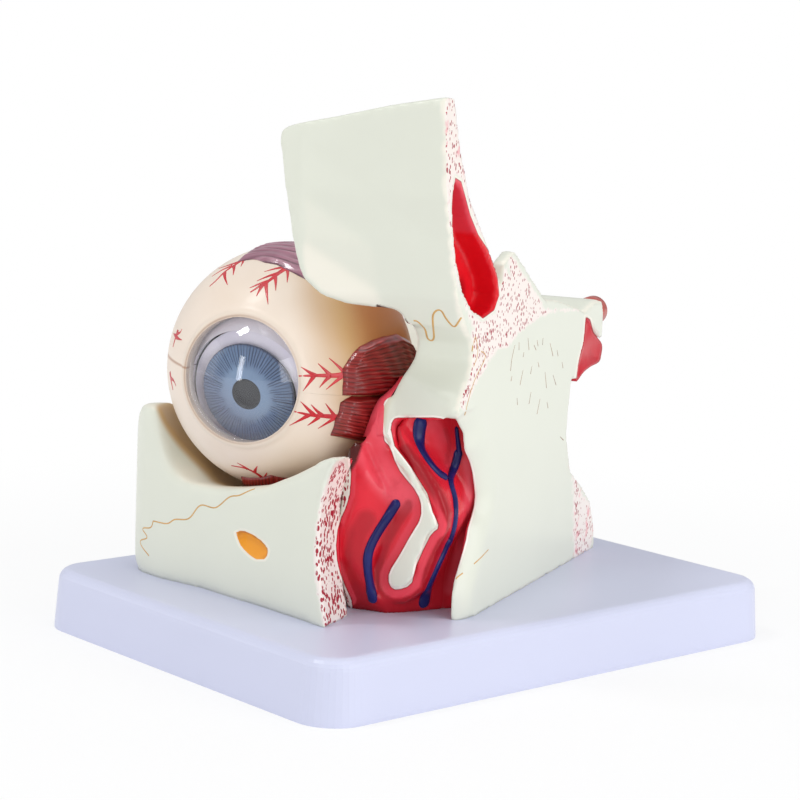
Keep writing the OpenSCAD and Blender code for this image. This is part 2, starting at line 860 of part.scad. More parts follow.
module cornea() {
    dome_y = limbus_y + cornea_rise - cornea_dome_r;
    color([0.90, 0.93, 0.96, 0.3])
        eye()
            difference() {
                intersection() {
                    translate([0, -dome_y, 0]) sphere(cornea_dome_r);
                    sight_rod(cornea_r, limbus_y - cornea_seat + rest_gap, eye_d);
                }
                intersection() {
                    translate([0, -dome_y, 0]) sphere(cornea_dome_r - cornea_t);
                    sight_rod(sight_r, 0, eye_d);
                }
            }
}

// ---- nerve and muscles ----

module optic_nerve() {
    color([0.93, 0.86, 0.62])
        eye()
            difference() {
                nerve_frame() {
                    translate([0, 0, sclera_in_r])
                        cylinder(h = sclera_t + nerve_l, r = nerve_r / 2);
                    translate([0, 0, eye_r - over])
                        cylinder(h = nerve_l + over, r = nerve_r);
                }
                difference() {
                    sphere(eye_r + muscle_gap);
                    nerve_frame() cylinder(h = eye_d, r = nerve_r / 2);
                }
                sphere(sclera_in_r);
            }
}

// outline of a muscle: front edge, belly and back end
function muscle_outline(along_share, half_share) = concat(
    [for (i = [0:len(along_share) - 1]) [
        along_share[i] * eye_r, half_share[i] * muscle_w]],
    [for (i = [len(along_share) - 1:-1:0]) [
        along_share[i] * eye_r, -half_share[i] * muscle_w]]);

// a layer on the eyeball with that outline, on the side that z points to
module muscle_layer(along_share) {
    intersection() {
        difference() {
            sphere(muscle_r);
            sphere(muscle_in_r);
        }
        linear_extrude(eye_d)
            polygon(muscle_outline(along_share, muscle_half_share));
    }
}

// turns the layer from the top of the eyeball to the side given in degrees
module around(turn) {
    rotate([0, turn, 0]) rotate([0, 0, 90]) children();
}

module superior_rectus() {
    color([0.42, 0.20, 0.22])
        eye() around(0) muscle_layer(vertical_muscle_along_share);
}

module inferior_rectus() {
    color([0.50, 0.12, 0.12])
        eye() around(180) muscle_layer(vertical_muscle_along_share);
}

module medial_muscle() {
    around(90) muscle_layer(muscle_along_share);
}

module lateral_muscle() {
    around(-90) muscle_layer(lateral_muscle_along_share);
}

module medial_rectus_lower() {
    color([0.55, 0.12, 0.12])
        eye() intersection() { medial_muscle(); lower_half(seam_gap); }
}

module medial_rectus_upper() {
    color([0.55, 0.12, 0.12])
        eye() intersection() { medial_muscle(); upper_half(seam_gap); }
}

module lateral_rectus_lower() {
    color([0.55, 0.12, 0.12])
        eye() intersection() { lateral_muscle(); lower_half(seam_gap); }
}

module lateral_rectus_upper() {
    color([0.55, 0.12, 0.12])
        eye() intersection() { lateral_muscle(); upper_half(seam_gap); }
}

base_tray();
base_screw_front();
base_screw_middle();
base_screw_back();
screw_washer_front();
screw_washer_middle();
screw_washer_back();
maxilla();
frontal_bone();
frontal_sinus_lining();
nasal_bone();
nasal_septum();
ethmoid_block();
sphenoid_block();
sphenoid_sinus_lining();
pterygoid_block();
vessel_stub();
nasal_wall();
nasal_turbinate();
turbinate_cut_edge();
sclera_lower();
sclera_upper();
seam_pin_inner();
seam_pin_outer();
choroid_lower();
choroid_upper();
vitreous_body();
ciliary_ring();
eye_lens();
iris();
cornea();
optic_nerve();
inferior_rectus();
superior_rectus();
medial_rectus_lower();
medial_rectus_upper();
lateral_rectus_lower();
lateral_rectus_upper();
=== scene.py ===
import math

import bmesh
import bpy
import numpy as np
from mathutils import Matrix, Vector
from mathutils.bvhtree import BVHTree


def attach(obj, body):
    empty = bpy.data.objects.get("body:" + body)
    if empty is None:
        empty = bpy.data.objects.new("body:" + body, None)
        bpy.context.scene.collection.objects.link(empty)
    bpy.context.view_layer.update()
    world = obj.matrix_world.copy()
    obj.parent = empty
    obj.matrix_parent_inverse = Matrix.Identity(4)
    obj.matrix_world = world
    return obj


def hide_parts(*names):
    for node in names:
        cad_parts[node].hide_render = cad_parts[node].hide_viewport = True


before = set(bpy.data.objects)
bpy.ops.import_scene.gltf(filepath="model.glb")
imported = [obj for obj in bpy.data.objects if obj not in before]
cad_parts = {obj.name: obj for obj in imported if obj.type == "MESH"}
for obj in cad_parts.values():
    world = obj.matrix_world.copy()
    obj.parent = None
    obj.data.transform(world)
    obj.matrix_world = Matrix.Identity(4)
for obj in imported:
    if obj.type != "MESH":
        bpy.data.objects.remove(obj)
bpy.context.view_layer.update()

bl_info = {
    "name": "Eye Anatomy Model",
    "version": (1, 0, 0),
    "blender": (4, 5, 0),
    "location": "3D View > Sidebar > Eye Model",
    "description": "Dresses the packed take-apart eye model with cast bone, painted tissue "
                   "and clear eye parts",
    "category": "Object",
}

MM = 0.001
BASE_TOP = 18.0

# The section's own frame: across towards the nose, forwards, and up. Its cut face lies at CUT across.
TURN = math.radians(25.0)
ACROSS = np.array([math.cos(TURN), math.sin(TURN), 0.0])
FORWARD = np.array([math.sin(TURN), -math.cos(TURN), 0.0])
UP = np.array([0.0, 0.0, 1.0])
CUT = 36.0

# The eyeball's frame: line of sight, and the seam's own across and up.
EYE = -28.2 * ACROSS + 31.8 * FORWARD + 82.0 * UP
EYE_RADIUS = 36.0
ROLL = math.radians(5.7)
EYE_ACROSS = math.cos(ROLL) * ACROSS - math.sin(ROLL) * UP
EYE_UP = math.sin(ROLL) * ACROSS + math.cos(ROLL) * UP
DROP = math.radians(12.0)
IRIS_FORWARD = math.cos(DROP) * FORWARD - math.sin(DROP) * EYE_UP
IRIS_UP = math.sin(DROP) * FORWARD + math.cos(DROP) * EYE_UP

# The photograph's camera, in millimetres. PX_MM is a pixel's rough size on the model.
FOCAL_PX = 2282.224
PHOTO_PX = 800
PX_MM = 0.3
LENS_AT = np.array([500.1, -459.3, 175.8])
LOOK = np.array([-0.7338, 0.6619, -0.1527])
LOOK /= np.linalg.norm(LOOK)
RIGHT = np.array([0.665, 0.746, 0.041])
RIGHT -= LOOK * RIGHT.dot(LOOK)
RIGHT /= np.linalg.norm(RIGHT)
TOP = np.cross(RIGHT, LOOK)


def srgb(r, g, b):
    """An 8-bit colour as the linear values that Blender's sockets take."""
    out = []
    for c in (r, g, b):
        c /= 255.0
        out.append(c / 12.92 if c <= 0.04045 else ((c + 0.055) / 1.055) ** 2.4)
    return tuple(out)


def dimmed(rgb, share):
    return tuple(c * share for c in tuple(rgb)[:3])


def colour(label, text, *rgb):
    return bpy.props.FloatVectorProperty(
        name=label, description=text, subtype="COLOR", size=3, min=0.0, max=1.0, default=srgb(*rgb))


def length(label, text, value, low, high):
    return bpy.props.FloatProperty(
        name=label, description=text, subtype="DISTANCE", unit="LENGTH",
        default=value * MM, min=low * MM, max=high * MM, precision=4)


class EyeModelSizes(bpy.types.PropertyGroup):
    """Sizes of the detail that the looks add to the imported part"""
    cast_step: length("Cast detail", "Mesh step of the cast bone", 0.75, 0.5, 2.0)
    tissue_step: length("Tissue detail", "Mesh step of the red lining of the nose", 0.6, 0.4, 2.0)
    vein_width: length("Vein width", "Width of the blue veins in the nose", 2.9, 1.0, 4.0)
    vessel_width: length("Vessel width", "Width of a painted vessel's stem on the eyeball", 1.5, 0.4, 2.5)
    suture_width: length("Suture width", "Width of the brown lines on the bone", 0.5, 0.2, 1.0)
    fibre_pitch: length("Fibre pitch", "Distance between the fibres of a muscle", 1.1, 0.6, 2.0)


class EyeModelColours(bpy.types.PropertyGroup):
    """Colours of the model's paint"""
    base: colour("Base", "Moulded base", 209, 212, 234)
    bone: colour("Bone", "Greenish cream of the bone", 226, 228, 214)
    bone_edge: colour("Bone edge", "Pale cream on the bone's edges", 240, 236, 222)
    spongy: colour("Spongy bone", "Pinkish white between the dots of a cut face", 246, 234, 228)
    speck: colour("Speck", "Dark red dots of a cut face", 166, 34, 54)
    suture: colour("Suture", "Brown line where two bones meet", 214, 168, 96)
    foramen: colour("Foramen", "Orange nerve hole of the cheek bone", 240, 158, 40)
    mucosa: colour("Mucosa", "Red lining of the nose", 226, 36, 54)
    # painted highlight: pinker red on the ridges of the lining
    mucosa_ridge_highlight: colour("Pale mucosa", "Pinker places of the lining", 240, 84, 100)
    # painted shade: crimson in the lining's valleys, far into the nose and at its bottom
    mucosa_shade: colour("Deep mucosa", "Crimson in the depth of the nose", 142, 2, 18)
    vein: colour("Vein", "Blue of the veins", 18, 22, 90)
    sclera: colour("Sclera", "Cream of the eyeball", 238, 223, 208)
    # light brown towards the back of the eyeball, and stronger as painted shade on its side towards the nose
    # and brow
    sclera_shade: colour("Sclera shade", "Tan sprayed on the eyeball towards the back", 188, 116, 62)
    vessel: colour("Vessel", "Red of the vessels painted on the eyeball", 206, 30, 44)
    muscle: colour("Muscle", "Dark red-brown of the muscles", 142, 32, 30)
    muscle_top_sheen: colour("Upper muscle", "Mauve of the muscle on top", 164, 112, 130)
    # painted sheen: the muscle on top is painted pale mauve instead of red-brown, as lit from above
    iris: colour("Iris", "Blue-grey of the iris", 104, 132, 168)
    iris_line: colour("Iris line", "Dark rays of the iris", 44, 62, 92)
    pupil: colour("Pupil", "Dark grey of the pupil", 32, 36, 40)
    ring: colour("Ring", "Pale lavender of the ciliary ring", 232, 227, 236)
    choroid: colour("Choroid", "Dark red-brown of the inner shell", 116, 34, 26)
    nerve: colour("Nerve", "Cream yellow of the optic nerve", 232, 214, 160)


def sizes():
    return bpy.context.scene.eye_model_sizes


def paints():
    return bpy.context.scene.eye_model_colours


# ---------------------------------------------------------------- places

def pairs(*numbers):
    """Places in two dimensions from a row of numbers."""
    return np.array(numbers, float).reshape(-1, 2)


def in_section(points):
    """Across, front and up of points in millimetres."""
    return np.stack([points @ ACROSS, points @ FORWARD, points @ UP], 1)


def in_photo(points):
    """Where points in millimetres lie in the photograph, in pixels."""
    d = points - LENS_AT
    z = d @ LOOK
    return np.stack([
        PHOTO_PX / 2 + FOCAL_PX * (d @ RIGHT) / z,
        PHOTO_PX / 2 - FOCAL_PX * (d @ TOP) / z], 1)


def sight_ray(px, py):
    d = LOOK * FOCAL_PX + RIGHT * (px - PHOTO_PX / 2) - TOP * (py - PHOTO_PX / 2)
    return d / np.linalg.norm(d)


def seen_on(tree, places):
    """Points of a surface, in millimetres, that lie at these places of the photograph."""
    hits = [tree.ray_cast(Vector(LENS_AT), Vector(sight_ray(*place)))[0] for place in places]
    return [np.array(hit) for hit in hits if hit is not None]


def segment_distance(points, a, b):
    e = b - a
    t = np.clip(((points - a) @ e) / max(e @ e, 1e-9), 0, 1)
    return np.linalg.norm(points - a - t[:, None] * e, axis=1)


def line_distance(points, line):
    """Distance of points, in two or three dimensions, to an open line."""
    return np.min([segment_distance(points, a, b) for a, b in zip(line[:-1], line[1:])], axis=0)


def outline_distance(points, outline):
    """Distance of 2-D points to a closed outline, positive inside."""
    inside = np.zeros(len(points), bool)
    px, py = points.T
    for a, b in zip(outline, np.roll(outline, -1, 0)):
        rise = b[1] - a[1]
        crosses = (a[1] > py) != (b[1] > py)
        inside ^= crosses & (px < a[0] + (py - a[1]) * (b[0] - a[0]) / (rise if abs(rise) > 1e-12 else 1e-12))
    best = line_distance(points, np.vstack([outline, outline[:1]]))
    return np.where(inside, best, -best)


def smooth_step(x, low, high):
    t = np.clip((x - low) / (high - low), 0, 1)
    return t * t * (3 - 2 * t)


def fade(x, full, gone):
    """1 up to full, 0 from gone on."""
    return smooth_step(-x, -gone, -full)


def band(x, middle, full, gone):
    """1 within full of the middle, 0 from gone away."""
    return fade(np.abs(x - middle), full, gone)


def curve_through(points, step):
    """A Catmull-Rom curve through the points, resampled at an even step."""
    p = np.asarray(points, float)
    if len(p) < 3:
        n = max(2, int(np.linalg.norm(p[-1] - p[0]) / step) + 1)
        return p[0] + np.linspace(0, 1, n)[:, None] * (p[-1] - p[0])
    q = np.vstack([2 * p[0] - p[1], p, 2 * p[-1] - p[-2]])
    fine = []
    for i in range(len(p) - 1):
        a, b, c, d = q[i:i + 4]
        for t in np.linspace(0, 1, 12, endpoint=False):
            fine.append(0.5 * (
                2 * b + (c - a) * t + (2 * a - 5 * b + 4 * c - d) * t ** 2
                + (3 * b - a - 3 * c + d) * t ** 3))
    fine = np.array(fine + [p[-1]])
    run = np.r_[0, np.cumsum(np.linalg.norm(np.diff(fine, axis=0), axis=1))]
    at = np.linspace(0, run[-1], max(3, int(run[-1] / step) + 1))
    return np.stack([np.interp(at, run, fine[:, k]) for k in range(fine.shape[1])], 1)


def ripple(points, scale, seed):
    """Smooth noise from sums of sines at random directions."""
    rng = np.random.default_rng(seed)
    out = np.zeros(len(points))
    for k in range(3):
        for _ in range(5):
            d = rng.normal(size=points.shape[1])
            d /= np.linalg.norm(d)
            out += np.sin(points @ d * (2 * math.pi / scale) * 1.7 ** k + rng.uniform(0, 6.28)) / 1.6 ** k
    return out / 5


# ---------------------------------------------------------------- meshes

def mesh_object(name, points, faces, body, material, replaced=(), merge=True):
    """A smooth piece from points in millimetres, riding on a CAD body."""
    mesh = bpy.data.meshes.new(name)
    mesh.from_pydata((np.asarray(points) * MM).tolist(), [], [list(map(int, f)) for f in faces])
    mesh.validate()
    piece = bpy.data.objects.new(name, mesh)
    bpy.context.scene.collection.objects.link(piece)
    mesh.materials.append(material)
    settle(piece, body, replaced)
    bm = bmesh.new()
    bm.from_mesh(mesh)
    if merge:
        bmesh.ops.remove_doubles(bm, verts=bm.verts, dist=1e-6)
    bmesh.ops.recalc_face_normals(bm, faces=bm.faces)
    bm.to_mesh(mesh)
    bm.free()
    mesh.shade_smooth()
    return piece


def settle(piece, body, replaced=()):
    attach(piece, body)
    if replaced:
        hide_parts(*replaced)


def vectors(piece, kind):
    out = np.zeros(len(piece.data.vertices) * 3)
    piece.data.vertices.foreach_get(kind, out)
    return out.reshape(-1, 3)


def coordinates(piece):
    return vectors(piece, "co") / MM


def move_to(piece, points):
    piece.data.vertices.foreach_set("co", (points * MM).ravel())
    piece.data.update()


def attribute(piece, name, values):
    a = piece.data.attributes.new(name, "FLOAT", "POINT")
    a.data.foreach_set("value", np.asarray(values, np.float32).ravel())


def surface_of(*names):
    """A search tree over pieces in millimetres."""
    points, faces = [], []
    for name in names:
        mesh, base = bpy.data.objects[name].data, len(points)
        points += [Vector(v.co) / MM for v in mesh.vertices]
        faces += [[base + i for i in p.vertices] for p in mesh.polygons]
    return BVHTree.FromPolygons(points, faces)


def even_out(piece, passes, ease=1.0):
    """Moves each point towards the middle of its neighbours, by its ease."""
    co = coordinates(piece)
    edges = np.zeros(len(piece.data.edges) * 2, int)
    piece.data.edges.foreach_get("vertices", edges)
    a, b = edges.reshape(-1, 2).T
    count = np.bincount(np.r_[a, b], minlength=len(co)).astype(float)[:, None]
    ease = np.broadcast_to(np.asarray(ease, float), (len(co),))[:, None]
    for _ in range(passes):
        total = np.zeros_like(co)
        for k in range(3):
            total[:, k] = np.bincount(a, co[b, k], len(co)) + np.bincount(b, co[a, k], len(co))
        co += 0.5 * ease * (total / count - co)
    return co


def cast_from(name, nodes, step, material):
    """One closed cast body from CAD nodes, with an even mesh."""
    joined = bmesh.new()
    for n in nodes:
        joined.from_mesh(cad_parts[n].data)
    bmesh.ops.remove_doubles(joined, verts=joined.verts, dist=1e-6)
    mesh = bpy.data.meshes.new(name)
    joined.to_mesh(mesh)
    joined.free()
    piece = bpy.data.objects.new(name, mesh)
    bpy.context.scene.collection.objects.link(piece)
    remesh = piece.modifiers.new("cast", "REMESH")
    remesh.mode = "VOXEL"
    remesh.voxel_size = step
    made = bpy.data.meshes.new_from_object(piece.evaluated_get(bpy.context.evaluated_depsgraph_get()))
    piece.modifiers.clear()
    piece.data = made
    bpy.data.meshes.remove(mesh)
    made.name = name
    made.materials.clear()
    made.materials.append(material)
    made.shade_smooth()
    return piece


def tube_faces(rows, around, closed=False, ends=(0, -1)):
    """Faces between rows of points that run round; the last row joins the first, or the ends are closed."""
    faces = []
    for i in range(rows if closed else rows - 1):
        a, b = i * around, (i + 1) % rows * around
        faces += [(a + k, b + k, b + (k + 1) % around, a + (k + 1) % around) for k in range(around)]
    if not closed:
        faces += [tuple(end % rows * around + k for k in range(around)) for end in ends]
    return faces


def slab_faces(rows, columns):
    """Faces of a sheet, its underside and its rim."""
    n = rows * columns
    faces = []
    for i in range(rows - 1):
        for j in range(columns - 1):
            a = i * columns + j
            faces.append((a, a + 1, a + columns + 1, a + columns))
            faces.append((n + a, n + a + columns, n + a + columns + 1, n + a + 1))
    index = np.arange(n).reshape(rows, columns)
    ring = [*index[0], *index[1:, -1], *index[-1, -2::-1], *index[-2:0:-1, 0]]
    return faces + [(a, n + a, n + b, b) for a, b in zip(ring, ring[1:] + ring[:1])]


def lathe(profile, axis, side, upright, centre, turns, from_turn=0.0, to_turn=2 * math.pi):
    """Points and faces of a profile of (along, radius) turned about an axis; a part turn is capped."""
    whole = abs(to_turn - from_turn - 2 * math.pi) < 1e-6
    rows = turns if whole else turns + 1
    points = []
    for t in from_turn + (to_turn - from_turn) * np.arange(rows) / turns:
        out = math.cos(t) * side + math.sin(t) * upright
        points += [centre + s * axis + r * out for s, r in profile]
    return points, tube_faces(rows, len(profile), whole)


def keep_sharp(piece, degrees=38.0):
    """Keeps crisp edges on a smooth piece."""
    bm = bmesh.new()
    bm.from_mesh(piece.data)
    for e in bm.edges:
        if len(e.link_faces) == 2 and e.calc_face_angle(0.0) > math.radians(degrees):
            e.smooth = False
    bm.to_mesh(piece.data)
    bm.free()


def stroke(line, upright, widths, rise, sunk, around=7):
    """A flat bead along a line on a surface: points with normals, its widths and its rise, all in mm."""
    along = np.gradient(line, axis=0)
    along /= np.linalg.norm(along, axis=1)[:, None] + 1e-12
    across = np.cross(along, upright)
    across /= np.linalg.norm(across, axis=1)[:, None] + 1e-12
    rises = np.broadcast_to(rise, (len(line),))
    rows = []
    for k in range(around):
        t = math.pi * k / (around - 1)
        rows.append(
            line + across * (np.cos(t) * widths / 2)[:, None]
            + upright * (np.sin(t) * rises - (sunk if k in (0, around - 1) else 0.0))[:, None])
    return np.stack(rows, 1).reshape(-1, 3), tube_faces(len(line), around)


def drawn_on(tree, places, width, rise=0.06, step=0.4, taper=(1.0, 1.0), sunk=0.25, smooth=True,
             blunt=False, even=2):
    """A painted or raised line that runs over a surface through places of the photograph."""
    hits = seen_on(tree, curve_through(places, 3.0) if smooth else places)
    if len(hits) < 2:
        return None
    nearest = [tree.find_nearest(Vector(p)) for p in curve_through(hits, step)]
    on, up = (np.array([near[k] for near in nearest]) for k in (0, 1))
    for values, passes in ((on, even), (up, 4)):
        for _ in range(passes):
            values[1:-1] = (values[:-2] + values[1:-1] + values[2:]) / 3
    up /= np.linalg.norm(up, axis=1)[:, None]
    widths = width * (taper[0] + (taper[1] - taper[0]) * np.linspace(0, 1, len(on)))
    if blunt:
        run = np.arange(len(on)) * step
        near = np.clip(np.minimum(run, run[::-1]) / (0.5 * widths), 0.02, 1)
        cap = np.sqrt(1 - (1 - near) ** 2)
        widths, rise = widths * cap, rise * cap
    return stroke(on, up, widths, rise, sunk)


def drawn_piece(name, strokes, body, paint):
    """One piece from drawn lines; a line that misses its surface is None."""
    points, faces = [], []
    for p, f in filter(None, strokes):
        faces += [tuple(len(points) + i for i in q) for q in f]
        points += list(p)
    mesh_object(name, points, faces, body, paint)


# ---------------------------------------------------------------- finishes

class Nodes:
    """Adds nodes to a tree."""

    def __init__(self, tree):
        self.tree = tree

    def add(self, kind, inputs=None, **settings):
        """A new node with its settings, and its inputs by name or number."""
        node = self.tree.nodes.new(kind)
        for key, value in settings.items():
            setattr(node, key, value)
        for key, value in (inputs or {}).items():
            self.feed(node.inputs[key], value)
        return node

    def feed(self, socket, value):
        """Links another socket to this one, or sets its number, colour or vector."""
        if isinstance(value, bpy.types.NodeSocket):
            self.tree.links.new(value, socket)
        elif isinstance(value, (int, float)):
            socket.default_value = value
        else:
            socket.default_value = (*value, 1.0)[:len(socket.default_value)]


class Finish(Nodes):
    """Builds one procedural material."""

    def __init__(self, name, roughness, coat=0.0, coat_roughness=0.1, specular=0.5, metallic=0.0,
                 transmission=0.0, ior=1.45):
        self.material = bpy.data.materials.new(name)
        self.material.use_nodes = True
        super().__init__(self.material.node_tree)
        self.tree.nodes.clear()
        self.out = self.add("ShaderNodeOutputMaterial").inputs["Surface"]
        self.skin = self.add("ShaderNodeBsdfPrincipled", {
            "Roughness": roughness, "Coat Weight": coat, "Coat Roughness": coat_roughness,
            "Metallic": metallic, "Specular IOR Level": specular, "Transmission Weight": transmission,
            "IOR": ior})
        self.feed(self.out, self.skin.outputs[0])
        self.place = self.add("ShaderNodeTexCoord").outputs["Object"]
        self.paint = self.relief = None

    def math(self, kind, a, b=0.0):
        return self.add("ShaderNodeMath", {0: a, 1: b}, operation=kind).outputs[0]

    def times(self, a, b):
        return self.math("MULTIPLY", a, b)

    def plus(self, a, b):
        return self.math("ADD", a, b)

    def minus(self, a, b):
        return self.math("SUBTRACT", a, b)

    def ramp(self, value, low, high):
        inputs = {"Value": value, "From Min": low, "From Max": high}
        return self.add("ShaderNodeMapRange", inputs, interpolation_type="SMOOTHSTEP").outputs[0]

    def close(self, value, middle, gone, full):
        """1 within full of the middle, 0 from gone away."""
        return self.ramp(self.math("ABSOLUTE", self.minus(value, middle)), gone, full)

    def mark(self, name):
        return self.add("ShaderNodeAttribute", attribute_name=name).outputs["Fac"]

    def stretched(self, scale, turn=(0.0, 0.0, 0.0)):
        return self.add("ShaderNodeMapping",
                        {"Vector": self.place, "Scale": scale, "Rotation": turn}).outputs[0]

    def measured(self, operation, other=(0.0, 0.0, 0.0)):
        """A number from each place, such as its length or its dot product."""
        return self.add("ShaderNodeVectorMath", {0: self.place, 1: other},
                        operation=operation).outputs["Value"]

    def noise(self, per_metre, detail=3.0, vector=None):
        inputs = {"Vector": vector or self.place, "Scale": per_metre, "Detail": detail, "Roughness": 0.55}
        return self.add("ShaderNodeTexNoise", inputs).outputs["Fac"]

    def cells(self, per_metre, vector=None, feature="F1"):
        inputs = {"Vector": vector or self.place, "Scale": per_metre}
        return self.add("ShaderNodeTexVoronoi", inputs, feature=feature).outputs["Distance"]

    def start(self, rgb):
        self.paint = self.add("ShaderNodeRGB").outputs[0]
        self.feed(self.paint, rgb)
        return self

    def over(self, rgb, share, amount=1.0):
        """Lays a colour over the paint, fully where share and amount are 1."""
        inputs = {0: self.times(share, amount), 6: self.paint, 7: rgb}
        self.paint = self.add("ShaderNodeMix", inputs, data_type="RGBA", clamp_factor=True).outputs[2]
        return self

    def mottle(self, rgb, amount, per_metre):
        """Faint uneven colour, as in hand-sprayed paint."""
        return self.over(rgb, self.ramp(self.noise(per_metre, 4.0), 0.35, 0.75), amount)

    def bump(self, height, depth_mm, strength):
        inputs = {"Height": height, "Distance": depth_mm * MM, "Strength": strength}
        if self.relief:
            inputs["Normal"] = self.relief
        self.relief = self.add("ShaderNodeBump", inputs).outputs[0]
        return self

    def grain(self, per_metre, depth_mm, strength, detail=3.0, vector=None):
        return self.bump(self.noise(per_metre, detail, vector), depth_mm, strength)

    def done(self):
        self.feed(self.skin.inputs["Base Color"], self.paint)
        if self.relief:
            self.feed(self.skin.inputs["Normal"], self.relief)
        return self.material

    def shader(self, kind, rgb):
        return self.add(kind, {0: rgb}).outputs[0]

    def mixed(self, share, first, second):
        """The finished material, with a mix of two shaders on its output."""
        self.feed(self.out, self.add("ShaderNodeMixShader", {0: share, 1: first, 2: second}).outputs[0])
        return self.done()


def base_finish():
    c = paints().base
    return Finish("base_plastic", 0.38, 0.12, 0.25).start(c).mottle(dimmed(c, 0.96), 0.35, 18.0).grain(
        900.0, 0.03, 0.35).done()


def cast_finish():
    """Greenish cream cast bone and red lining, read from the marks on the mesh."""
    c = paints()
    f = Finish(CAST_PAINT, 0.36, 0.2, 0.16, 0.25)
    f.start(c.mucosa)
    # painted highlight: pinker red on the ridges of the lining
    f.over(c.mucosa_ridge_highlight, f.mark("pale"), f.ramp(f.noise(60.0), 0.2, 0.6))
    f.over(dimmed(c.mucosa, 0.62), f.ramp(f.noise(110.0, 4.0), 0.5, 0.8), 0.55)
    # painted shade: crimson in the valleys, far into the nose and at its bottom
    f.over(c.mucosa_shade, f.mark("deep"))
    # painted highlight: pink on the raised rim round the turbinate and along the cheek bone's cut edge
    f.over(srgb(240, 74, 92), f.mark("lip"))
    red = f.paint
    f.start(c.bone).mottle(dimmed(c.bone, 0.95), 0.4, 22.0)
    # pale cream on the bone's edges, and on the cheek bone on its upward faces as a painted highlight
    f.over(c.bone_edge, f.mark("edge"))
    # painted shade: light brown on the orbit's bowl close round the eyeball
    f.over(srgb(204, 170, 118), f.mark("warm"), 0.9)
    # the cut faces: pinkish white with an uneven border, a blush and dark dots
    soft = f.plus(f.mark("spongy"), f.times(f.minus(f.noise(420.0, 2.0), 0.5), 2.2))
    f.over(c.spongy, f.ramp(soft, -0.4, 0.5), 0.85)
    f.over(srgb(232, 120, 136), f.times(f.ramp(f.noise(230.0), 0.52, 0.68), f.mark("blush")), 0.6)
    dots = f.cells(1020.0, f.stretched((1.0, 1.0, 0.6), (0.35, 0.0, 0.0)))
    size = f.plus(f.times(f.noise(150.0), 0.75), f.minus(f.times(f.mark("dense"), 0.12), 0.06))
    f.over(c.speck, f.ramp(f.minus(size, dots), -0.015, 0.035), f.ramp(soft, 0.1, 0.8))
    # the orange nerve hole, with darker orange painted shade on its upper inner wall, and its pale rim
    hole = f.mark("hole")
    f.over(c.foramen, f.ramp(hole, -0.12, 0.12))
    f.over(srgb(186, 98, 34), f.ramp(hole, 0.0, 0.3), f.mark("hole_edge"))
    f.over(c.bone_edge, f.times(f.ramp(hole, -0.85, -0.5), f.ramp(hole, 0.05, -0.1)), 0.9)
    # the opened sinuses, with a dark red spot of painted shade where the frontal sinus's hole lies
    sinus = f.mark("sinus")
    inside = f.ramp(sinus, -0.12, 0.12)
    f.over(srgb(226, 66, 82), inside)
    f.over(srgb(226, 20, 34), inside, f.mark("sinus_low"))
    f.over(srgb(150, 0, 8), inside, f.mark("sinus_hole"))
    f.over(srgb(150, 20, 36), f.close(sinus, 0.0, 0.2, 0.08), 0.7)
    f.over(c.bone_edge, f.ramp(sinus, -0.8, -0.55), f.ramp(sinus, -0.1, -0.25))
    # the red lining beside the bone, a dark line along it and a white one on the bone's edge
    side = f.mark("bone")
    lining = f.ramp(side, 0.05, -0.05)
    f.over(red, lining)
    f.over(srgb(120, 16, 28), f.close(side, -0.1, 0.16, 0.06), 0.6)
    f.over(srgb(250, 244, 236), f.close(side, 0.34, 0.3, 0.2))
    # painted shade: dark brown in the gap beside the eyeball and in the corner below it
    f.over(srgb(62, 24, 20), f.mark("shade"))
    dull = f.plus(f.minus(0.33, f.times(lining, 0.07)), f.times(f.mark("deep"), 0.12))
    f.feed(f.skin.inputs["Roughness"], dull)
    f.grain(260.0, 0.06, 0.3)
    f.bump(f.times(f.noise(200.0, 4.0), lining), 0.25, 0.5)
    return f.done()


def vein_finish():
    return Finish("vein_paint", 0.32, 0.15, 0.15, 0.3).start(paints().vein).mottle(
        srgb(34, 50, 130), 0.35, 160.0).grain(420.0, 0.12, 0.4).done()


def line_finish(name, rgb, dark):
    return Finish(name, 0.35, 0.3, 0.15).start(rgb).mottle(dark, 0.7, 320.0).done()


def sclera_finish():
    c = paints()
    f = Finish("sclera_paint", 0.42, 0.18, 0.2, 0.35)
    f.start(c.sclera).mottle(srgb(228, 206, 184), 0.4, 30.0)
    # light brown towards the back, and stronger as painted shade on the side that sits against the nose and
    # brow
    tan = f.mark("tan")
    f.over(srgb(216, 188, 158), f.ramp(tan, 0.08, 0.5))
    f.over(srgb(206, 166, 116), f.ramp(tan, 0.35, 0.75))
    f.over(c.sclera_shade, f.ramp(tan, 0.65, 1.05))
    f.over(srgb(226, 212, 196), f.mark("limbus"))
    f.over(srgb(170, 112, 70), f.mark("seam"))
    # painted shade: grey-taupe on the shell's inner edge deep in the front opening
    f.over(srgb(164, 154, 150), f.mark("plate"))
    f.over(srgb(160, 112, 78), f.mark("rim"))
    return f.grain(300.0, 0.04, 0.3).done()


def muscle_finish(name, rgb, pale):
    f = Finish(name, 0.28, 0.45, 0.12)
    f.start(rgb)
    fibre = f.mark("fibre")
    # fibre stripes: paler on the fibres' crests as painted highlight, and near black in the grooves between
    # them as painted shade
    f.over(pale, f.ramp(fibre, 0.35, 1.0), 0.75)
    f.over(dimmed(rgb, 0.24), f.ramp(f.times(fibre, -1.0), 0.1, 0.8),
           f.plus(f.times(f.noise(160.0, 2.0), 0.7), 0.35))
    return f.mottle(dimmed(rgb, 0.6), 0.5, 120.0).grain(700.0, 0.06, 0.4).done()


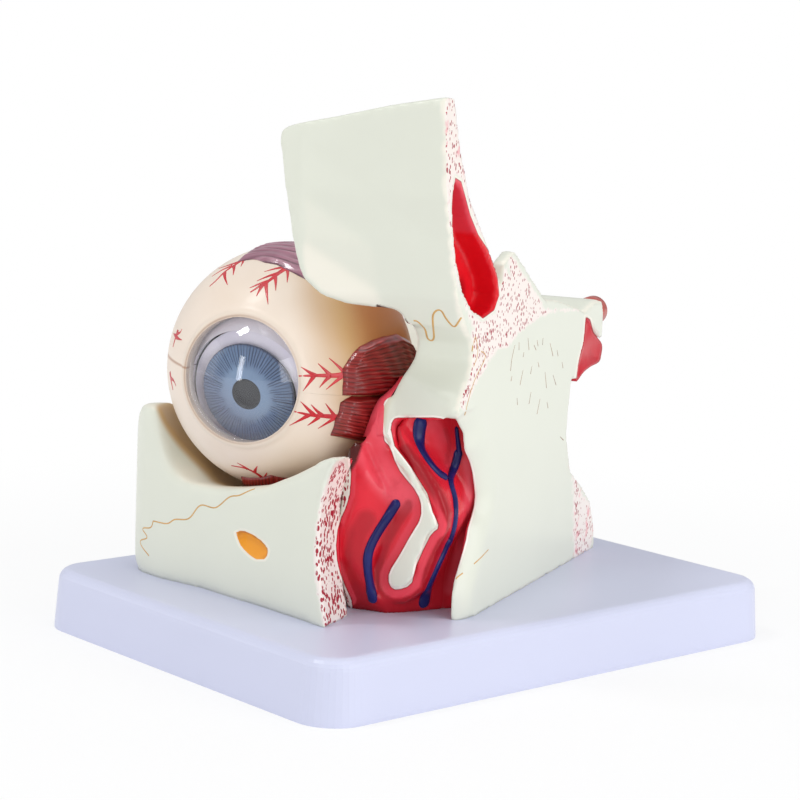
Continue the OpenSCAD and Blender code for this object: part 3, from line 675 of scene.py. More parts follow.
def iris_finish():
    """Blue-grey iris with dark rays; its marks are the radius share and the turn."""
    c = paints()
    f = Finish("iris_paint", 0.35, 0.25, 0.15)
    f.start(c.iris)
    radius, ray = f.mark("radius"), f.mark("ray")
    at = f.add("ShaderNodeCombineXYZ", {0: f.times(f.mark("turn"), 26.0), 1: f.times(radius, 1.4)})
    f.over(dimmed(c.iris, 0.82), f.ramp(f.noise(1.0, 3.0, at.outputs[0]), 0.45, 0.7), 0.6)
    f.over(srgb(136, 162, 192), f.ramp(radius, 0.66, 0.45), 0.75)
    f.over(c.iris_line, ray, 0.95)
    f.over(srgb(50, 60, 84), f.ramp(radius, 0.965, 1.0), 0.8)
    # painted reflection: paler, greyer blue on the iris's lower side away from the nose
    f.over(srgb(158, 166, 192), f.mark("haze"), 0.7)
    # painted shade: darker on the iris's upper side towards the nose
    f.over(srgb(66, 82, 116), f.mark("dusk"), 0.45)
    f.over(c.pupil, f.ramp(radius, 0.318, 0.304))
    f.over(srgb(22, 26, 30), f.close(radius, 0.300, 0.02, 0.008), 0.85)
    return f.bump(ray, -0.2, 0.6).done()


def clear_finish(name, tint, roughness, ior):
    """Clear cast plastic that lets the light through to what lies behind it."""
    f = Finish(name, roughness, transmission=1.0, ior=ior)
    f.start(tint).over(dimmed(tint, 0.97), f.ramp(f.noise(40.0, 2.0), 0.4, 0.7))
    path = f.add("ShaderNodeLightPath").outputs
    through = f.math("MAXIMUM", path["Is Shadow Ray"], f.times(path["Is Diffuse Ray"], 0.6))
    return f.mixed(through, f.skin.outputs[0], f.shader("ShaderNodeBsdfTransparent", tint))


def dome_finish():
    """Clear dome: what lies behind it shows straight through, with a gloss on top."""
    f = Finish("cornea_plastic", 0.03, metallic=1.0)
    f.start(srgb(250, 250, 252)).over(srgb(244, 244, 250), f.ramp(f.noise(40.0, 2.0), 0.4, 0.7))
    path = f.add("ShaderNodeLightPath").outputs
    facing = f.add("ShaderNodeLayerWeight").outputs["Facing"]
    gloss = f.plus(f.times(f.math("POWER", facing, 5.0), 0.8), 0.04)
    seen = f.minus(1.0, f.math("MAXIMUM", path["Is Shadow Ray"], path["Is Diffuse Ray"]))
    clear = f.shader("ShaderNodeBsdfTransparent", (0.985, 0.985, 0.99))
    return f.mixed(f.times(gloss, seen), clear, f.skin.outputs[0])


def ring_finish():
    return Finish("ring_plastic", 0.3, 0.3).start(paints().ring).mottle(srgb(206, 200, 222), 0.5, 90.0).grain(
        500.0, 0.03, 0.3).done()


def choroid_finish():
    f = Finish("choroid_paint", 0.32, 0.35)
    c = paints().choroid
    f.start(c).mottle(dimmed(c, 0.6), 0.6, 90.0)
    f.over(srgb(190, 46, 34), f.ramp(f.cells(95.0, feature="DISTANCE_TO_EDGE"), 0.07, 0.03), 0.8)
    middle = (EYE @ IRIS_FORWARD) * MM
    ahead = f.measured("DOT_PRODUCT", tuple(IRIS_FORWARD))
    f.over(paints().ring, f.ramp(ahead, middle + 21.5 * MM, middle + 22.5 * MM))
    return f.grain(260.0, 0.06, 0.4).done()


def nerve_finish():
    f = Finish("nerve_paint", 0.32, 0.35)
    f.start(paints().nerve).mottle(srgb(214, 180, 110), 0.7, 70.0)
    return f.grain(300.0, 0.08, 0.4, vector=f.stretched((1.0, 1.0, 3.0))).done()


def steel_finish():
    return Finish("zinc_steel", 0.34, metallic=1.0).start(srgb(178, 178, 182)).mottle(
        srgb(140, 140, 146), 0.6, 500.0).grain(1500.0, 0.02, 0.3, 2.0).done()


def floor_finish():
    """Bright floor that fades into the white ground."""
    f = Finish("studio_floor", 0.7)
    f.start((0.92, 0.92, 0.93)).mottle((0.9, 0.9, 0.91), 0.3, 3.0)
    path = f.add("ShaderNodeLightPath").outputs
    plain = f.math("MAXIMUM", path["Is Glossy Ray"], path["Is Transmission Ray"])
    plain = f.math("MAXIMUM", path["Is Camera Ray"], plain)
    share = f.plus(f.times(f.ramp(f.measured("LENGTH"), 0.1, 0.32), 0.22), 0.78)
    return f.mixed(f.times(plain, share), f.skin.outputs[0], f.shader("ShaderNodeEmission", (1.0, 1.0, 1.0)))


def dress_node(node, material):
    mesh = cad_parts[node].data
    mesh.materials.clear()
    mesh.materials.append(material)


# ---------------------------------------------------------------- places on the stand

# Outline of the frontal sinus in the cut plane, front and up, in millimetres
SINUS = pairs(69.7,142.5, 65.3,141.3, 61.1,136.3, 57.7,132.1, 51.1,126.4, 43.0,121.8, 35.0,114.3,
    32.7,108.5, 36.1,104.6, 44.4,103.1, 53.0,106.1, 61.0,112.2, 66.4,120.7, 69.5,128.8, 70.9,135.4)
# The septum's front edge in the same plane
SEPTUM_FRONT = pairs(48.4,18.0, 48.6,25.1, 46.8,29.9, 43.5,34.0, 41.0,39.5, 39.2,43.8, 34.9,47.1,
    33.9,51.1, 37.1,58.0, 39.9,62.0, 44.1,65.5, 45.5,70.6, 49.6,73.8, 52.1,76.0)
# Cut faces with spongy bone, in the photograph
SPONGY_PX = pairs(436,88, 440,97, 441,140, 444.3,192, 448,239, 455,274, 465.7,310, 473,328, 470,348,
    468.4,367.6, 460,388, 456.6,399.2, 458,407, 464.5,411, 469,400, 474.4,387.3, 484,371, 498,349.8,
    509,347, 517.9,334, 540.7,317, 556,312, 583.6,310.6, 583.6,308.8, 548,309, 544.3,308, 533.6,288.6,
    509.5,251, 508,263, 510.5,275, 503,268, 495,256, 486,226, 476,176, 466,120, 458,84)
CHEEK_SPONGY_PX = pairs(341,459, 346,466, 349,473, 350,484, 349,495, 346,507, 341,518, 337,530, 336,545,
    337,560, 340,573, 346,588, 351,600, 352,612, 350,640, 326,640, 322,618, 318,600, 315,575, 314,550,
    316,530, 319,510, 323,492, 329,476, 336,464)
PTERYGOID_PX = pairs(568,452, 572,456, 581,493, 591,504, 596,518, 590,553, 575,562, 573,544, 573,483)
# The red lining starts to the right of this line on the cheek bone
CHEEK_EDGE_PX = pairs(352,300, 350,460, 351,473, 350.5,484, 349.5,495, 346,507, 341,518, 337.5,530,
    336,545, 337,560, 340,573, 346,588, 351.5,600, 353,612, 353,660, 460,660, 460,300)
# Bone around the nose: its edge on the orbit, the turbinate's cut edge and the septum's front
BONE_PX = pairs(384,300, 392,309, 405.7,319.5, 413.3,328.7, 416.7,338, 415.8,349.9, 410.7,360, 400.6,375,
    390.5,392, 383,404, 381.3,410, 381.3,420, 383,432, 384.5,441, 389,445.5, 392,452, 394.5,460, 400,471,
    407,480, 413,487, 418.5,496, 421,504, 421.3,514, 419,522, 414,530, 408,540, 402,551, 396,561, 391.5,568,
    388.6,575, 388.6,582, 391,587, 395,589.5, 400,589.2, 407,587, 412,582.5, 413.5,576, 416,566, 419.5,558,
    423,550, 426.5,543, 430,536, 434,531.5, 437.5,529, 438.3,525, 436,519, 432.5,512, 430,502, 427,493,
    422,485, 417,477, 411.5,468, 405.5,460, 400,453, 394.5,446, 392.5,438, 391,430, 391.3,423, 394,418.8,
    397.5,417.6, 434,417.4, 441,418.3, 449,421, 456,426.5, 460.5,432, 462.3,440, 462.6,448, 466,455,
    470,463, 472.5,473, 474,486, 474.6,496, 474,506, 471,518, 468,528, 466,540, 463,551, 459.5,562, 455,575,
    451.5,585, 449.8,600, 448.8,622, 448.8,680, 680,680, 680,300)
STRIP_PX = BONE_PX[13:59]
FORAMEN_PX = pairs(235.7,532.5, 240.1,530.6, 244.5,531, 250.1,533.4, 256.1,537, 262.2,541.8, 266.4,547,
    268.2,551.1, 267.2,555.2, 264.5,559.4, 256.1,559.4, 250.1,555.6, 244.5,550.3, 240.5,545.5, 237.7,539.1)
SPHENOID_PX = pairs(586,316.6, 590,319.6, 593,332, 601.8,343.8, 601,356.3, 598.8,362.2, 590.7,366.6,
    583.4,372.5, 576,381.3, 579.7,358.5, 584,343.8, 585.6,329)
# Painted shade in the gap between the eyeball and the bone of the nose
GAP_PX = pairs(376,304, 392,309, 405.7,319.5, 413.3,328.7, 416.7,338, 415.8,349.9, 410.7,360, 402,373,
    376,376)
# Painted shade in the corner where the lining runs in below the eyeball
CORNER_PX = pairs(340,436, 362,436, 361.8,446, 356.7,461.4, 350.8,471.5, 347,462, 341,456)
# Painted shade in the valleys and painted highlight on the pale ridges of the lining: their line, where they
# are full and gone, and their strength
VALLEYS_PX = (
    (pairs(405,450, 414,461, 423,472, 432,485, 440,500, 445,513, 443,527, 437,545, 430,562, 424,578,
     415,594, 404,604), 3.5, 10.0, 0.75),
    (pairs(366,520, 358,535, 354,552, 357,572, 362,590, 367,606), 5.25, 15.0, 0.55),
    (pairs(409,505, 396,524, 386,541, 380,558, 379,578, 385,597, 398,609, 415,606), 2.8, 8.0, 0.6),
    (pairs(397,425, 400,440, 410,452), 1.4, 4.0, 0.5),
    (pairs(446,430, 450,445, 447,462), 1.4, 4.0, 0.35))
RIDGES_PX = (
    (pairs(390,392, 378,425, 370,455, 385,478, 404,497), 8, 22, 1.0),
    (pairs(467,462, 471,480, 468,505, 460,550, 450,590), 2, 8, 1.0),
    (pairs(434,426, 441,440, 452,462), 4, 11, 0.75))
# What the cast paint reads from a mesh, and the value that leaves each off
MARKS = {
    "bone": 5.0, "spongy": -3.0, "hole": -5.0, "sinus": -5.0, "pale": 0.0, "deep": 0.0, "lip": 0.0,
    "dense": 0.0, "blush": 0.0, "edge": 0.0, "warm": 0.0, "shade": 0.0, "hole_edge": 0.0,
    "sinus_low": 0.0, "sinus_hole": 0.0}
CAST_PAINT = "cast_paint"


def marked(piece, **given):
    """Writes every mark that the cast paint reads; a mark that isn't given is off."""
    n = len(piece.data.vertices)
    for mark, off in MARKS.items():
        attribute(piece, mark, np.broadcast_to(given.get(mark, off), (n,)))


def strongest(px, lines):
    return np.max([most * fade(line_distance(px, line), full, gone)
                   for line, full, gone, most in lines], axis=0)


def lining_marks(px, front):
    """Painted highlight on the ridges and rims, and painted shade in the valleys and far into the nose, of
    the red lining, from its places in the photograph.
    """
    # painted shade: darker in the valleys, further into the nose and at the bottom
    deep = np.maximum(strongest(px, VALLEYS_PX), fade(front, 33, 42) * 0.25)
    deep = np.maximum(deep, smooth_step(px[:, 1], 578, 612) * band(px[:, 0], 382, 30, 52) * 0.8)
    # painted highlight on the rim round the turbinate and along the cheek bone's cut edge
    lip = band(-outline_distance(px, STRIP_PX), 4.5, 2.5, 5.5) * smooth_step(px[:, 1], 488, 520) * 0.75
    lip = np.maximum(lip, band(line_distance(px, CHEEK_EDGE_PX[1:13]), 3, 1, 3) * 0.7)
    return {"pale": strongest(px, RIDGES_PX), "deep": deep * (1 - lip), "lip": lip}


class EYEMODEL_OT_base(bpy.types.Operator):
    """Moulded base with its screws and washers"""
    bl_idname = "eyemodel.base"
    bl_label = "Base"

    def execute(self, context):
        dress_node("base_tray", base_finish())
        steel = steel_finish()
        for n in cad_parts:
            if "screw" in n:
                dress_node(n, steel)
        return {"FINISHED"}


class EYEMODEL_OT_skull(bpy.types.Operator):
    """Frontal, nasal, septum and sphenoid bone, cast as one section with its painted cut face"""
    bl_idname = "eyemodel.skull"
    bl_label = "Skull section"

    def execute(self, context):
        nodes = ("frontal_bone", "frontal_sinus_lining", "nasal_bone", "nasal_septum", "ethmoid_block",
                 "sphenoid_block", "sphenoid_sinus_lining", "pterygoid_block", "turbinate_cut_edge")
        bone = cast_from("skull_section", nodes, sizes().cast_step, cast_finish())
        co = coordinates(bone)
        flat = in_section(co)
        across, front, up = flat.T
        on_cut = across > CUT - 0.3
        low = up < BASE_TOP + 0.3
        ease = np.ones(len(co))
        ease[(np.abs(outline_distance(flat[:, 1:], SINUS)) < 4) & (across > 24)] = 0.3
        ease[(front > 50.5) & (up < 68)] = 0.35
        # the septum's plate is pressed thinner along its front edge
        inner, thick, reach = 31.8, 4.2, 6.5
        near = line_distance(flat[:, 1:], SEPTUM_FRONT)
        thin = 3.2 * (1 - np.clip(near / reach, 0, 1)) ** 2
        plate = (across > inner) & (up < 78)
        moved = np.where(plate, inner + (across - inner) * (thick - thin) / thick, across)
        co += (moved - across)[:, None] * ACROSS
        move_to(bone, co)
        co = even_out(bone, 12, ease)
        level = CUT - co @ ACROSS
        co += np.where(on_cut & (~plate | (near > reach)), level, 0.0)[:, None] * ACROSS
        co[low, 2] = BASE_TOP
        # the nasal bone's lower edge goes down and its left edge to the left
        (x, y), front = in_photo(co).T, co @ FORWARD
        co[:, 2] -= 1.5 * band(x, 420, 22, 29) * band(y, 410, 4, 9) * (front > 30)
        co -= (1.7 * band(x, 388.5, 3, 6) * band(y, 418, 16, 26) * (front > 36))[:, None] * RIGHT
        move_to(bone, co)
        paint_skull(bone)
        settle(bone, "stand", nodes)
        return {"FINISHED"}


def paint_skull(bone):
    co = coordinates(bone)
    sec, px, nor = in_section(co), in_photo(co), vectors(bone, "normal")
    across, front, up = sec.T
    facing_cut = nor @ ACROSS
    on_cut = np.minimum((across - CUT + 0.5) * 2, (facing_cut - 0.6) * 4)
    frontal = outline_distance(sec[:, 1:], SINUS)
    spongy = np.minimum(outline_distance(px, SPONGY_PX) * PX_MM, on_cut * 2)
    spongy = np.minimum(spongy, -frontal - 0.9)
    pterygoid = np.where((front < -30) & (up < 60), outline_distance(px, PTERYGOID_PX) * PX_MM, -3.0)
    spongy = np.maximum(spongy, pterygoid)
    sphenoid = np.where((front < -34) & (across > 18) & (up > 58),
                        outline_distance(px, SPHENOID_PX) * PX_MM, -3.0)
    wall = CUT - 0.12
    sinus = np.where((across > 24) & (across < wall), np.minimum(frontal + 0.5, 0.6), -3.0)
    sinus = np.where(across >= wall, np.clip(frontal, -3, 0.6), sinus)
    edge = smooth_step(facing_cut, 0.1, 0.35) * fade(facing_cut, 0.7, 0.95)
    orbit = np.linalg.norm(co - EYE, axis=1)
    nose = (up < 102) & (front > 28) & (px[:, 0] < 490) & ((facing_cut < 0.93) | (across < 31))
    marked(bone, bone=np.where(nose, outline_distance(px, BONE_PX) * PX_MM, 5.0),
           spongy=spongy, edge=edge * (1 - fade(up, 74, 80) * smooth_step(front, 20, 30)),
           blush=np.maximum(smooth_step(spongy, 0.2, 1.5) * fade(px[:, 1], 150, 290),
                            smooth_step(pterygoid, -1, 0.5)),
           # light brown painted shade in the orbit close round the eyeball
           warm=fade(orbit, 43, 47.5) * smooth_step(-facing_cut, -0.3, 0.3) * 0.6,
           sinus=np.maximum(sinus, sphenoid), sinus_low=fade(up, 126, 128) * (front > 0),
           # dark red painted shade for the hole low in the frontal sinus
           sinus_hole=fade(np.hypot(front - 46, up - 109), 2, 7),
           shade=(smooth_step(outline_distance(px, GAP_PX), -0.6, 0.6) * (nor @ LOOK < 0.3)
                  * (up < 108) * 0.95),
           **lining_marks(px, front))


class EYEMODEL_OT_cheek(bpy.types.Operator):
    """Cheek bone with the floor and lower rim of the orbit"""
    bl_idname = "eyemodel.cheek"
    bl_label = "Cheek bone"

    def execute(self, context):
        bone = cast_from("cheek_bone", ("maxilla",), sizes().cast_step * 1.1, bpy.data.materials[CAST_PAINT])
        across, front, up = in_section(coordinates(bone)).T
        co = even_out(bone, 22, np.where((across > 0) & (front > 50), 0.35, 1.0))
        co[up < BASE_TOP + 0.4, 2] = BASE_TOP
        px = in_photo(co)
        # the nerve hole is pressed in, deeper at its upper side
        hole = np.where(co[:, 1] < -50, outline_distance(px, FORAMEN_PX) * PX_MM, -5.0)
        upper = smooth_step((px[:, 0] - 252) * 0.62 - (px[:, 1] - 545) * 0.78, -8, 6)
        co[:, 1] += smooth_step(hole, 0.0, 1.4) * (0.5 + 1.3 * upper)
        move_to(bone, co)
        (across, front, up), nor = in_section(co).T, vectors(bone, "normal")
        spongy = np.minimum(outline_distance(px, CHEEK_SPONGY_PX) * PX_MM, (nor @ -LOOK - 0.1) * 6)
        spongy = np.minimum(spongy, (front - 38) * 0.5)
        nose = (across > -3) & (front > 40)
        orbit = np.linalg.norm(co - (EYE + 2.6 * UP), axis=1)
        # on the cheek bone the pale edge paint goes on the upward faces, as a painted highlight from above
        marked(bone, bone=np.where(nose, -outline_distance(px, CHEEK_EDGE_PX) * PX_MM, 5.0),
               spongy=spongy, blush=smooth_step(spongy, 0.2, 1.5) * 0.12, dense=1.0,
               # the orbit floor close round the eyeball gets light brown painted shade
               edge=smooth_step(nor[:, 2], 0.5, 0.95) * 0.7, warm=fade(orbit, 41.8, 43.2),
               # the hole's upper inner wall gets darker orange painted shade
               hole=hole, hole_edge=fade(hole, 0.3, 1.0) * upper, **lining_marks(px, front))
        settle(bone, "stand", ("maxilla",))
        return {"FINISHED"}


class EYEMODEL_OT_nose(bpy.types.Operator):
    """Red lining of the nose"""
    bl_idname = "eyemodel.nose"
    bl_label = "Nose lining"

    def execute(self, context):
        nodes = ("nasal_wall", "nasal_turbinate")
        wall = cast_from("nasal_lining", nodes, sizes().tissue_step, bpy.data.materials[CAST_PAINT])
        low = coordinates(wall)[:, 2] < BASE_TOP + 0.3
        co = even_out(wall, 16)
        co[low, 2] = BASE_TOP
        move_to(wall, co)
        (across, front, up), px = in_section(co).T, in_photo(co)
        strip = np.where(front > 44, outline_distance(px, BONE_PX) * PX_MM, -5.0)
        cheek = np.where((front > 44) & (across < 12), -outline_distance(px, CHEEK_EDGE_PX) * PX_MM, -5.0)
        marked(wall, bone=np.maximum(strip, cheek), spongy=np.where(cheek > -0.3, 1.5, -3.0), dense=1.0,
               shade=smooth_step(outline_distance(px, CORNER_PX), -1.5, 1.2) * 0.95,
               **lining_marks(px, front))
        settle(wall, "stand", nodes)
        return {"FINISHED"}


# Free edge of the lining beside the eyeball: across, front and up; and the edge that the bone holds
FLAP = ((9.8, 39.6, 83.8), (9.2, 42.2, 81.6), (8.0, 45.6, 79.5), (6.9, 47.8, 77.8), (5.8, 49.0, 74.5),
        (5.1, 49.2, 72.2), (3.3, 48.9, 67.1))
FLAP_PX = pairs(404,376, 396,389, 390,398, 386,406, 385,413, 385,420, 386,436)


class EYEMODEL_OT_flap(bpy.types.Operator):
    """Red lining between the eyeball and the bone of the nose"""
    bl_idname = "eyemodel.flap"
    bl_label = "Lining beside the eye"

    def execute(self, context):
        rows, columns = 26, 12
        free = curve_through(np.array(FLAP) @ (ACROSS, FORWARD, UP), 0.2)
        held = curve_through(seen_on(surface_of("skull_section", "nasal_lining"), FLAP_PX), 0.2)
        free, held = (line[np.linspace(0, len(line) - 1, rows).astype(int)][:, None] for line in (free, held))
        u = np.linspace(0, 1, columns)[:, None]
        top = (free + (held - free) * u - LOOK * (0.9 * np.sin(math.pi * u) - 0.25)).reshape(-1, 3)
        piece = mesh_object("lining_flap", np.vstack([top, top + 1.5 * LOOK]), slab_faces(rows, columns),
                            "stand", bpy.data.materials[CAST_PAINT])
        co = coordinates(piece)
        marked(piece, bone=-5.0, **lining_marks(in_photo(co), co @ FORWARD))
        return {"FINISHED"}


class EYEMODEL_OT_stub(bpy.types.Operator):
    """Cut vessel and red lining at the back of the section"""
    bl_idname = "eyemodel.stub"
    bl_label = "Vessel stub"

    def execute(self, context):
        paint = line_finish("stub_paint", srgb(190, 66, 48), srgb(140, 26, 20))
        profile = ((54.0, 0.0), (54.0, 4.4), (66.6, 4.7), (67.7, 4.2), (68.2, 3.0), (68.0, 1.2), (68.0, 0.0))
        points, faces = lathe(profile, -FORWARD, ACROSS, UP, 31.2 * ACROSS + 95.0 * UP, 40)
        mesh_object("vessel_end", points, faces, "stand", paint, ("vessel_stub",))
        places = []
        for px, py in curve_through(np.vstack([SPHENOID_PX, SPHENOID_PX[:1]]), 3.0)[:-1]:
            ray = sight_ray(px, py)
            places.append(LENS_AT + ray * ((CUT - 0.8 - LENS_AT @ ACROSS) / (ray @ ACROSS)))
        places = np.array(places)
        heart = places.mean(0)
        dish = ((1.0, 3.0), (1.0, 0.0), (0.9, 0.35), (0.5, 1.1), (0.04, 1.3))
        rings = [heart + (places - heart) * share - depth * ACROSS for share, depth in dish]
        lining = mesh_object("sphenoid_lining", np.vstack(rings), tube_faces(len(dish), len(places)),
                             "stand", bpy.data.materials[CAST_PAINT])
        # darker red painted shade inside the sphenoid sinus
        marked(lining, bone=-5.0, deep=0.35)
        return {"FINISHED"}


# ---------------------------------------------------------------- the eyeball

def shell_profile(outer, inner, opening):
    """Outline of a ball shell with a raised rim, from its front opening to the back, as (along, radius)."""
    first = math.asin(opening / outer)
    out = []
    for t in np.r_[np.linspace(first, first + 0.14, 13), np.linspace(first + 0.18, math.pi, 64)]:
        reach = outer + 0.55 * math.exp(-((t - first - 0.035) / 0.03) ** 2)
        out.append((reach * math.cos(t), reach * math.sin(t)))
    back = np.linspace(math.pi, math.asin(opening / inner), 50)
    return out + [(inner * math.cos(t), inner * math.sin(t)) for t in back]


class EYEMODEL_OT_sclera(bpy.types.Operator):
    """The eyeball's two outer half shells"""
    bl_idname = "eyemodel.sclera"
    bl_label = "Outer shells"

    def execute(self, context):
        paint = sclera_finish()
        profile = shell_profile(EYE_RADIUS, 32.4, 17.6)
        gap = math.asin(0.03 / EYE_RADIUS)
        for half, start in (("upper", gap), ("lower", math.pi + gap)):
            points, faces = lathe(profile, FORWARD, EYE_ACROSS, EYE_UP, EYE, 120,
                                  start, start + math.pi - 2 * gap)
            piece = mesh_object(
                "outer_shell_" + half, points, faces, "eye_" + half, paint, ("sclera_" + half,))
            keep_sharp(piece)
            paint_sclera(piece)
        return {"FINISHED"}


def paint_sclera(piece):
    co = coordinates(piece)
    d = co - EYE
    r = np.linalg.norm(d, axis=1)
    d /= r[:, None]
    ahead, side, level = d @ FORWARD, d @ EYE_ACROSS, d @ EYE_UP
    angle = np.degrees(np.arccos(np.clip(ahead, -1, 1)))
    # the light brown is strongest on the side towards the nose and brow, as painted shade there, and half as
    # strong towards the back
    sprayed = 0.97 * RIGHT + 0.24 * TOP
    away = np.degrees(np.arccos(np.clip(d @ (sprayed / np.linalg.norm(sprayed)), -1, 1)))
    tan = np.maximum(fade(away, 36, 98), smooth_step(angle, 92, 150) * 0.5) + 0.04 * ripple(co, 22.0, 5)
    attribute(piece, "tan", np.where(r < 34, 0.1, tan))
    # painted shade: grey-taupe on the shell's inner edge deep in the front opening
    attribute(piece, "plate", fade(ahead * r, 27.6, 28.6) * (np.hypot(side, level) * r < 17.7) * (angle < 60))
    attribute(piece, "rim", band(angle, 29.9, 0.3, 0.8) * (r > 34.5)
              * (0.6 - 0.3 * smooth_step(side, -0.3, 0.3)))
    attribute(piece, "limbus", fade(angle, 31.5, 33.5) * 0.5)
    attribute(piece, "seam", fade(np.abs(level * r), 0.2, 0.42) * smooth_step(r, 35, 35.8) * (side < 0) * 0.7)


# Each tree is its stem and its twigs
VESSELS_PX = (
    ((246.1,256.7, 235.8,264.4, 225.4,271.3, 216.8,279.9, 209.6,286.5), (244.4,258.4, 242.7,262.7,
     240.9,266.5), (234,265.3, 234,269.6, 233.2,275.1), (224.6,272.5, 225.1,278.2, 227.5,284.8),
     (232.3,265.5, 222,270, 212,276.5), (238,262, 229,265, 219,268.5)),
    ((289.2,266.2, 278.8,273, 270.2,279.9, 259.9,286, 250.4,292.3), (286.6,267, 287.8,273, 287.1,282.5),
     (275,275.1, 275.7,281.7, 275.7,290.6), (265.9,282, 266.4,290.3, 268.1,304.4), (286.6,266.8,
     275.4,268.7, 264.2,271.7), (278.8,273, 268.5,276.1, 256.8,281), (268.5,281.2, 259.9,283.8,
     249.5,288), (263.3,284, 259.9,289.4, 256.4,296.3)),
    ((178,330, 176,336, 173,347), (177,334, 180,333, 182,329), (176,337, 179,339, 182,340), (176,336,
     173,333, 171,331)),
    ((170,372, 171,380, 173,390), (171,378, 174,381, 176,386)),
    ((347,374, 336,375.5, 318,375.5, 299,376), (316,376, 309,372, 301,367), (331,376, 325,370,
     318,363.5), (346,374, 338,366, 329,358), (314,376, 309,383, 303,391), (330,376, 325,381,
     319.5,387.5), (344,375, 335,382, 326,389.5)),
    ((338,417, 324,416, 310,415, 294.5,411.5), (314,415, 308,409, 300.5,401.5), (323,416, 317,411,
     311,404.5), (336,418, 331,411, 325.5,403.5), (309,415, 300,420, 289.5,425.5), (319,417, 314,421,
     307.5,425.5), (335,418, 327,423, 318,428.5)),
    ((277.1,480.5, 266.8,481, 258.2,474.5, 246.1,468.5, 231.5,465.6), (254.4,473, 255.5,469.5, 257.3,466),
     (264,479.5, 265.3,476, 267.1,472.5), (247.8,469.3, 243,466, 237,462.8)))


class EYEMODEL_OT_vessels(bpy.types.Operator):
    """Red vessel trees painted on the eyeball"""
    bl_idname = "eyemodel.vessels"
    bl_label = "Painted vessels"

    def execute(self, context):
        paint = line_finish("vessel_paint", paints().vessel, dimmed(paints().vessel, 0.7))
        width = sizes().vessel_width / MM
        for half in ("upper", "lower"):
            tree = surface_of("outer_shell_" + half)
            strokes = []
            for stem, *twigs in VESSELS_PX:
                for row, share, taper in ([(stem, 1.0, (1.25, 0.3))]
                                          + [(t, 0.85, (1.15, 0.15)) for t in twigs]):
                    places = pairs(*row)
                    if seen_on(tree, [places[len(places) // 2]]):
                        strokes.append(drawn_on(tree, places, width * share, 0.09, 0.4, taper))
            drawn_piece("vessels_eye_" + half, strokes, "eye_" + half, paint)
        return {"FINISHED"}


def knots(places, values):
    """A line through knots."""
    return lambda x: np.interp(x, places, values)


def slope(first, last):
    return knots((0, 1), (first, last))


def frayed(line, amount, seed):
    """A muscle's front edge with small waves."""
    return lambda v: line(v) + amount * (0.5 * np.sin(v * 7 + seed) + 0.3 * np.sin(v * 17 + 2 * seed))


def muscle_patch(name, half, middle, across, edges, material, thick=2.2, wound=False):
    """A domed muscle patch in its own outline, with fibres along it or, if wound, across it."""
    front, back, low, high = edges
    rows, columns = 70, 110
    v, u = np.meshgrid(np.linspace(0, 1, rows), np.linspace(0, 1, columns), indexing="ij")
    along = front(v) + (back - front(v)) * u
    side = low(u) + (high(u) - low(u)) * v
    run_out = np.abs(back - front(v))
    rim = np.minimum(v, 1 - v) * (high(u) - low(u))
    tip = np.minimum(u * run_out, (1 - u) * run_out + 1.5)
    dome = np.sqrt(np.minimum(1.0, rim / 1.3) * np.minimum(1.0, tip / 1.1))
    q, run = (along, side) if wound else (low(0.0) + (high(0.0) - low(0.0)) * v, along)
    turn = 2 * math.pi * q / (sizes().fibre_pitch / MM * (2.8 if wound else 1.0))
    phase = np.random.default_rng(len(name) * 7 + 3).uniform(0, 6.28, 6)
    wave = np.sin(turn + 2.0 * np.sin(run * 0.24 + q * 0.35 + phase[0]) + phase[1]) \
        + 0.6 * np.sin(turn / 0.57 + 1.6 * np.sin(run * 0.31 + phase[2]) + phase[3])
    if not wound:
        wave += 0.4 * np.sin(run * 1.3 + q * 0.9 + phase[4])
    height = thick * dome - 0.13 + 0.14 * wave * dome
    reach = EYE_RADIUS + 0.1 + np.maximum(height, 0.05)
    out = np.sqrt(np.maximum(reach ** 2 - along ** 2 - side ** 2, 1.0))
    p = out[..., None] * middle + side[..., None] * across - along[..., None] * FORWARD
    p /= np.linalg.norm(p, axis=2)[..., None]
    top = (EYE + p * reach[..., None]).reshape(-1, 3)
    under = EYE + p.reshape(-1, 3) * (EYE_RADIUS + 0.05)
    piece = mesh_object(
        name, np.vstack([top, under]), slab_faces(rows, columns), "eye_" + half,
        material, (name.replace("muscle", "rectus"),), merge=False)
    attribute(piece, "fibre", np.vstack([wave, wave]) / 1.7)


